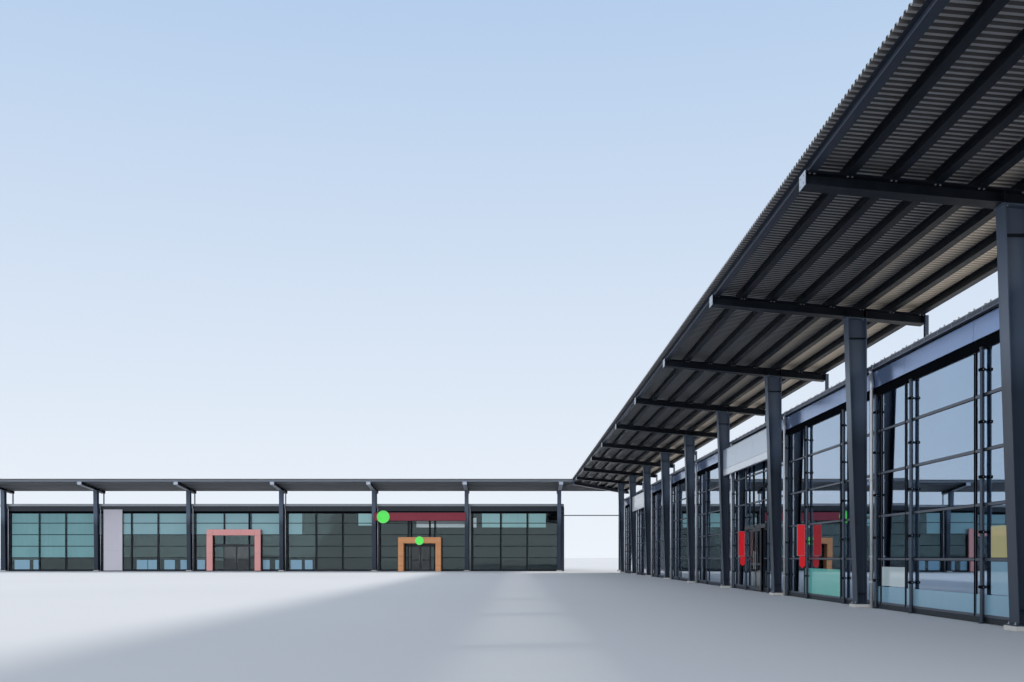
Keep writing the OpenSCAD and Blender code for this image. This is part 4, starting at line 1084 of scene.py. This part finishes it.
def sign_panel():
    """Tall bare panel before the glass, in three plates, on feet and cleats."""
    panel, edge, feet = Piece("panel_face", BACK), Piece("panel_rim", BACK), Piece("panel_feet", BACK)
    d = BACK.columns[5] - 0.137
    rim(edge, (0.0284, 0.0390), span(d, 0.0825), (0.004, 0.535), 0.003)
    for zs in runs((0.007, 0.18, 0.356, 0.532), 0.0002):
        panel.box((0.0288, 0.0386), span(d, 0.0796), zs, 0.0005)
    for z in (0.114, 0.314, 0.500):
        for side in span(d, 0.055):
            feet.box((0.0380, CAP_U - 0.0002), span(side, 0.002), (z, z + 0.004), EASED)
    feet.box((0.0290, 0.0384), span(d, 0.080), (0.0, 0.0042), EASED)
    panel.done(PALE_PANEL, replaces=["sign_panel"])
    edge.done(PANEL_RIM)
    feet.done(FRONT_STEEL)


def blade_signs():
    """Upright blades on the slender posts, each with a small pointed tab under it."""
    blades, frames = Piece("blade_faces", SIDE), Piece("blade_rims", SIDE)
    low, high, foot, top, bar = 0.0093, 0.0333, 0.124, 0.216, 0.0012
    tab = ((0.0165, 0.1232), (0.0335, 0.1232), (0.0335, 0.096), (0.025, 0.088), (0.0165, 0.096))
    for bay in (5, 6):
        d = SIDE.columns[bay] + SIDE_POSTS[1]
        blades.box((low + 0.0009, high - 0.0009), span(d, 0.0008), (foot + 0.0008, top - 0.0008), FINE)
        blades.loft([[(u, side, z) for u, z in tab] for side in span(d, 0.0007)])
        between = (foot + bar, top - bar)
        for us, zs in (((low, high), (foot, foot + bar)), ((low, high), (top - bar, top)),
                       ((low, low + bar), between), ((high - bar, high), between)):
            frames.box(us, span(d, 0.0013), zs, EASED)
        for z in (0.134, 0.204):
            frames.rod((high - 0.0002, d, z), (POST_U - 0.0030, d, z), 0.0014, 10)
    blades.done(BLADE_RED, replaces=["blade_signs"])
    frames.done(BOLT_STEEL)


# The building's pieces
for wing in WINGS:
    canopy_sheet(wing)
    canopy_steelwork(wing)
    edge_trim(wing)
    gutter_details(wing)
    roof_details(wing)
    cladding(wing)
    post_fittings(wing)
back_painted_light_faces()
back_posts()
panes(SIDE, SIDE_GLASS_PAINTED_SKY, seed=4)
panes(BACK, BACK_GLASS_PAINTED_DARK, seed=9)
for wing in WINGS:
    gaskets(wing)
fascia_details(SIDE, FASCIA_PAINTED_SKY)
fascia_details(BACK, BACK_FASCIA_PAINTED_DARK)
downpipe(SIDE, gap=0.025)
downpipe(BACK, gap=0.012)

UPPER_ROWS, TOP_ROW, TOP_BANDS = (0.3195, 0.4985), (0.3790, 0.4985), (0.3790, 0.4420)
FOOT_BAND, POSTER_ROW = (0.0135, 0.052), (0.0135, 0.097)
films(BACK, [
    (5, 0.0555, 0.7965, (0.1195, 0.4985), TEAL_FILM), (4, 0.2200, 0.7965, UPPER_ROWS, STEEL_FILM),
    (4, 0.0035, 0.0485, UPPER_ROWS, STEEL_FILM), (3, 0.0035, 0.7965, UPPER_ROWS, STEEL_FILM),
    (2, 0.0555, 0.1720, UPPER_ROWS, STEEL_FILM), (2, 0.6600, 0.7750, (0.3950, 0.4985), SKY_FILM),
    (1, 0.3630, 0.7830, TOP_BANDS, WHITE_FILM), (0, 0.0555, 0.0830, (0.3790, 0.4620), WHITE_FILM),
    (0, 0.1320, 0.6850, TOP_ROW, SKY_FILM)])
POSTERS = {5: ((0.078, 0.209), (0.242, 0.286)),
           4: ((0.338, 0.430), (0.436, 0.512), (0.577, 0.668), (0.717, 0.775)),
           3: ((0.063, 0.129), (0.632, 0.690), (0.739, 0.772)), 2: ((0.072, 0.168), (0.196, 0.262))}
films(BACK, [(bay, *place, POSTER_ROW, BLUE_FILM) for bay, places in POSTERS.items() for place in places])
SIDE_PANES = ((0.0035, 0.0695), (0.0765, 0.2235), (0.2305, 0.5675), (0.5745, 0.7965))
films(SIDE, [(bay, *place, FOOT_BAND, BLUE_FILM) for bay in (7, 8) for place in SIDE_PANES] + [
    (7, 0.0765, 0.2235, (0.0540, 0.0980), WHITE_FILM), (6, 0.2305, 0.5675, (0.0135, 0.088), GREEN_FILM),
    (7, 0.6350, 0.7550, (0.1195, 0.1760), STRAW_FILM), (7, 0.6350, 0.7550, (0.0540, 0.1125), BLUE_FILM)])

portal_courses()
portal_panels()
sign_band()
discs()
sign_boards()
sign_panel()
blade_signs()
ENTRANCES = (("market", BACK, MARKET), ("painted", BACK, PAINTED), ("shop", SIDE, SHOP))
for door, wing, doorway in ENTRANCES:
    door_leaf(door, "left", wing, doorway, -wing.way)
    door_leaf(door, "right", wing, doorway, wing.way)
for door, wing, doorway in ENTRANCES:
    door_surround(door, wing, doorway)


# Stage and light
def stage():
    """Pale floor, a backdrop that pales towards it, and two soft lamps."""
    ground, reach = bpy.data.meshes.new("stage_floor"), 150
    ground.from_pydata([(-reach, -reach, 0), (reach, -reach, 0), (reach, reach, 0), (-reach, reach, 0)],
                       [], [(0, 1, 2, 3)])
    floor = bpy.data.objects.new("stage_floor", ground)
    bpy.context.scene.collection.objects.link(floor)
    floor.location.z = -0.0005
    s = Shader("stage_paving", Roughness=0.9)
    seen_pale = s.mix(s.noise(0.6, 3.0), (0.46, 0.48, 0.51), (0.52, 0.54, 0.57))
    diffuse_ray = s.node("LightPath", output="Is Diffuse Ray")
    s.varies("Base Color", s.mix(diffuse_ray, seen_pale, (0.23, 0.24, 0.26)))
    ground.materials.append(s.material)

    world = bpy.data.worlds.new("studio")
    bpy.context.scene.world = world
    world.use_nodes = True
    sky = Nodes(world.node_tree)
    sky.tree.nodes.clear()
    light = sky.node("Background", {}, {"Color": (0.86, 0.92, 1.0), "Strength": 0.9})
    # The backdrop pales towards the floor, so that glass and steel show where the sky ends
    height = sky.node("SeparateXYZ", {}, [sky.node("TexCoord", output="Generated")], output="Z")
    fall = {"stops": ((0.0, (0.86, 0.91, 0.97)), (0.55, (0.40, 0.57, 0.82)))}
    seen = sky.node("Background", {}, {"Color": sky.node("ValToRGB", fall, [height])})
    rays = [sky.node("LightPath", output="Is %s Ray" % kind) for kind in ("Camera", "Glossy", "Transmission")]
    either = rays[0].math("MAXIMUM", rays[0], rays[1].math("MAXIMUM", rays[1], rays[2]))
    out = sky.tree.nodes.new("ShaderNodeOutputWorld")
    sky.feed(out.inputs["Surface"], sky.node("MixShader", {}, [either, light, seen]))

    for name, energy, angle, colour, way in (
            ("sun", 3.4, 6, (1.0, 0.92, 0.82), (-0.86, -0.30, -0.62)),
            ("fill", 1.5, 50, (0.92, 0.96, 1.0), (0.50, 0.80, -0.24))):
        sun = bpy.data.lights.new(name, "SUN")
        sun.energy, sun.angle, sun.color = energy, math.radians(angle), colour
        lamp = bpy.data.objects.new(name, sun)
        lamp.rotation_euler = Vector(way).to_track_quat("-Z", "Y").to_euler()
        lamp.visible_glossy = name == "sun"
        bpy.context.scene.collection.objects.link(lamp)


stage()
bpy.context.scene.view_settings.view_transform = "Standard"
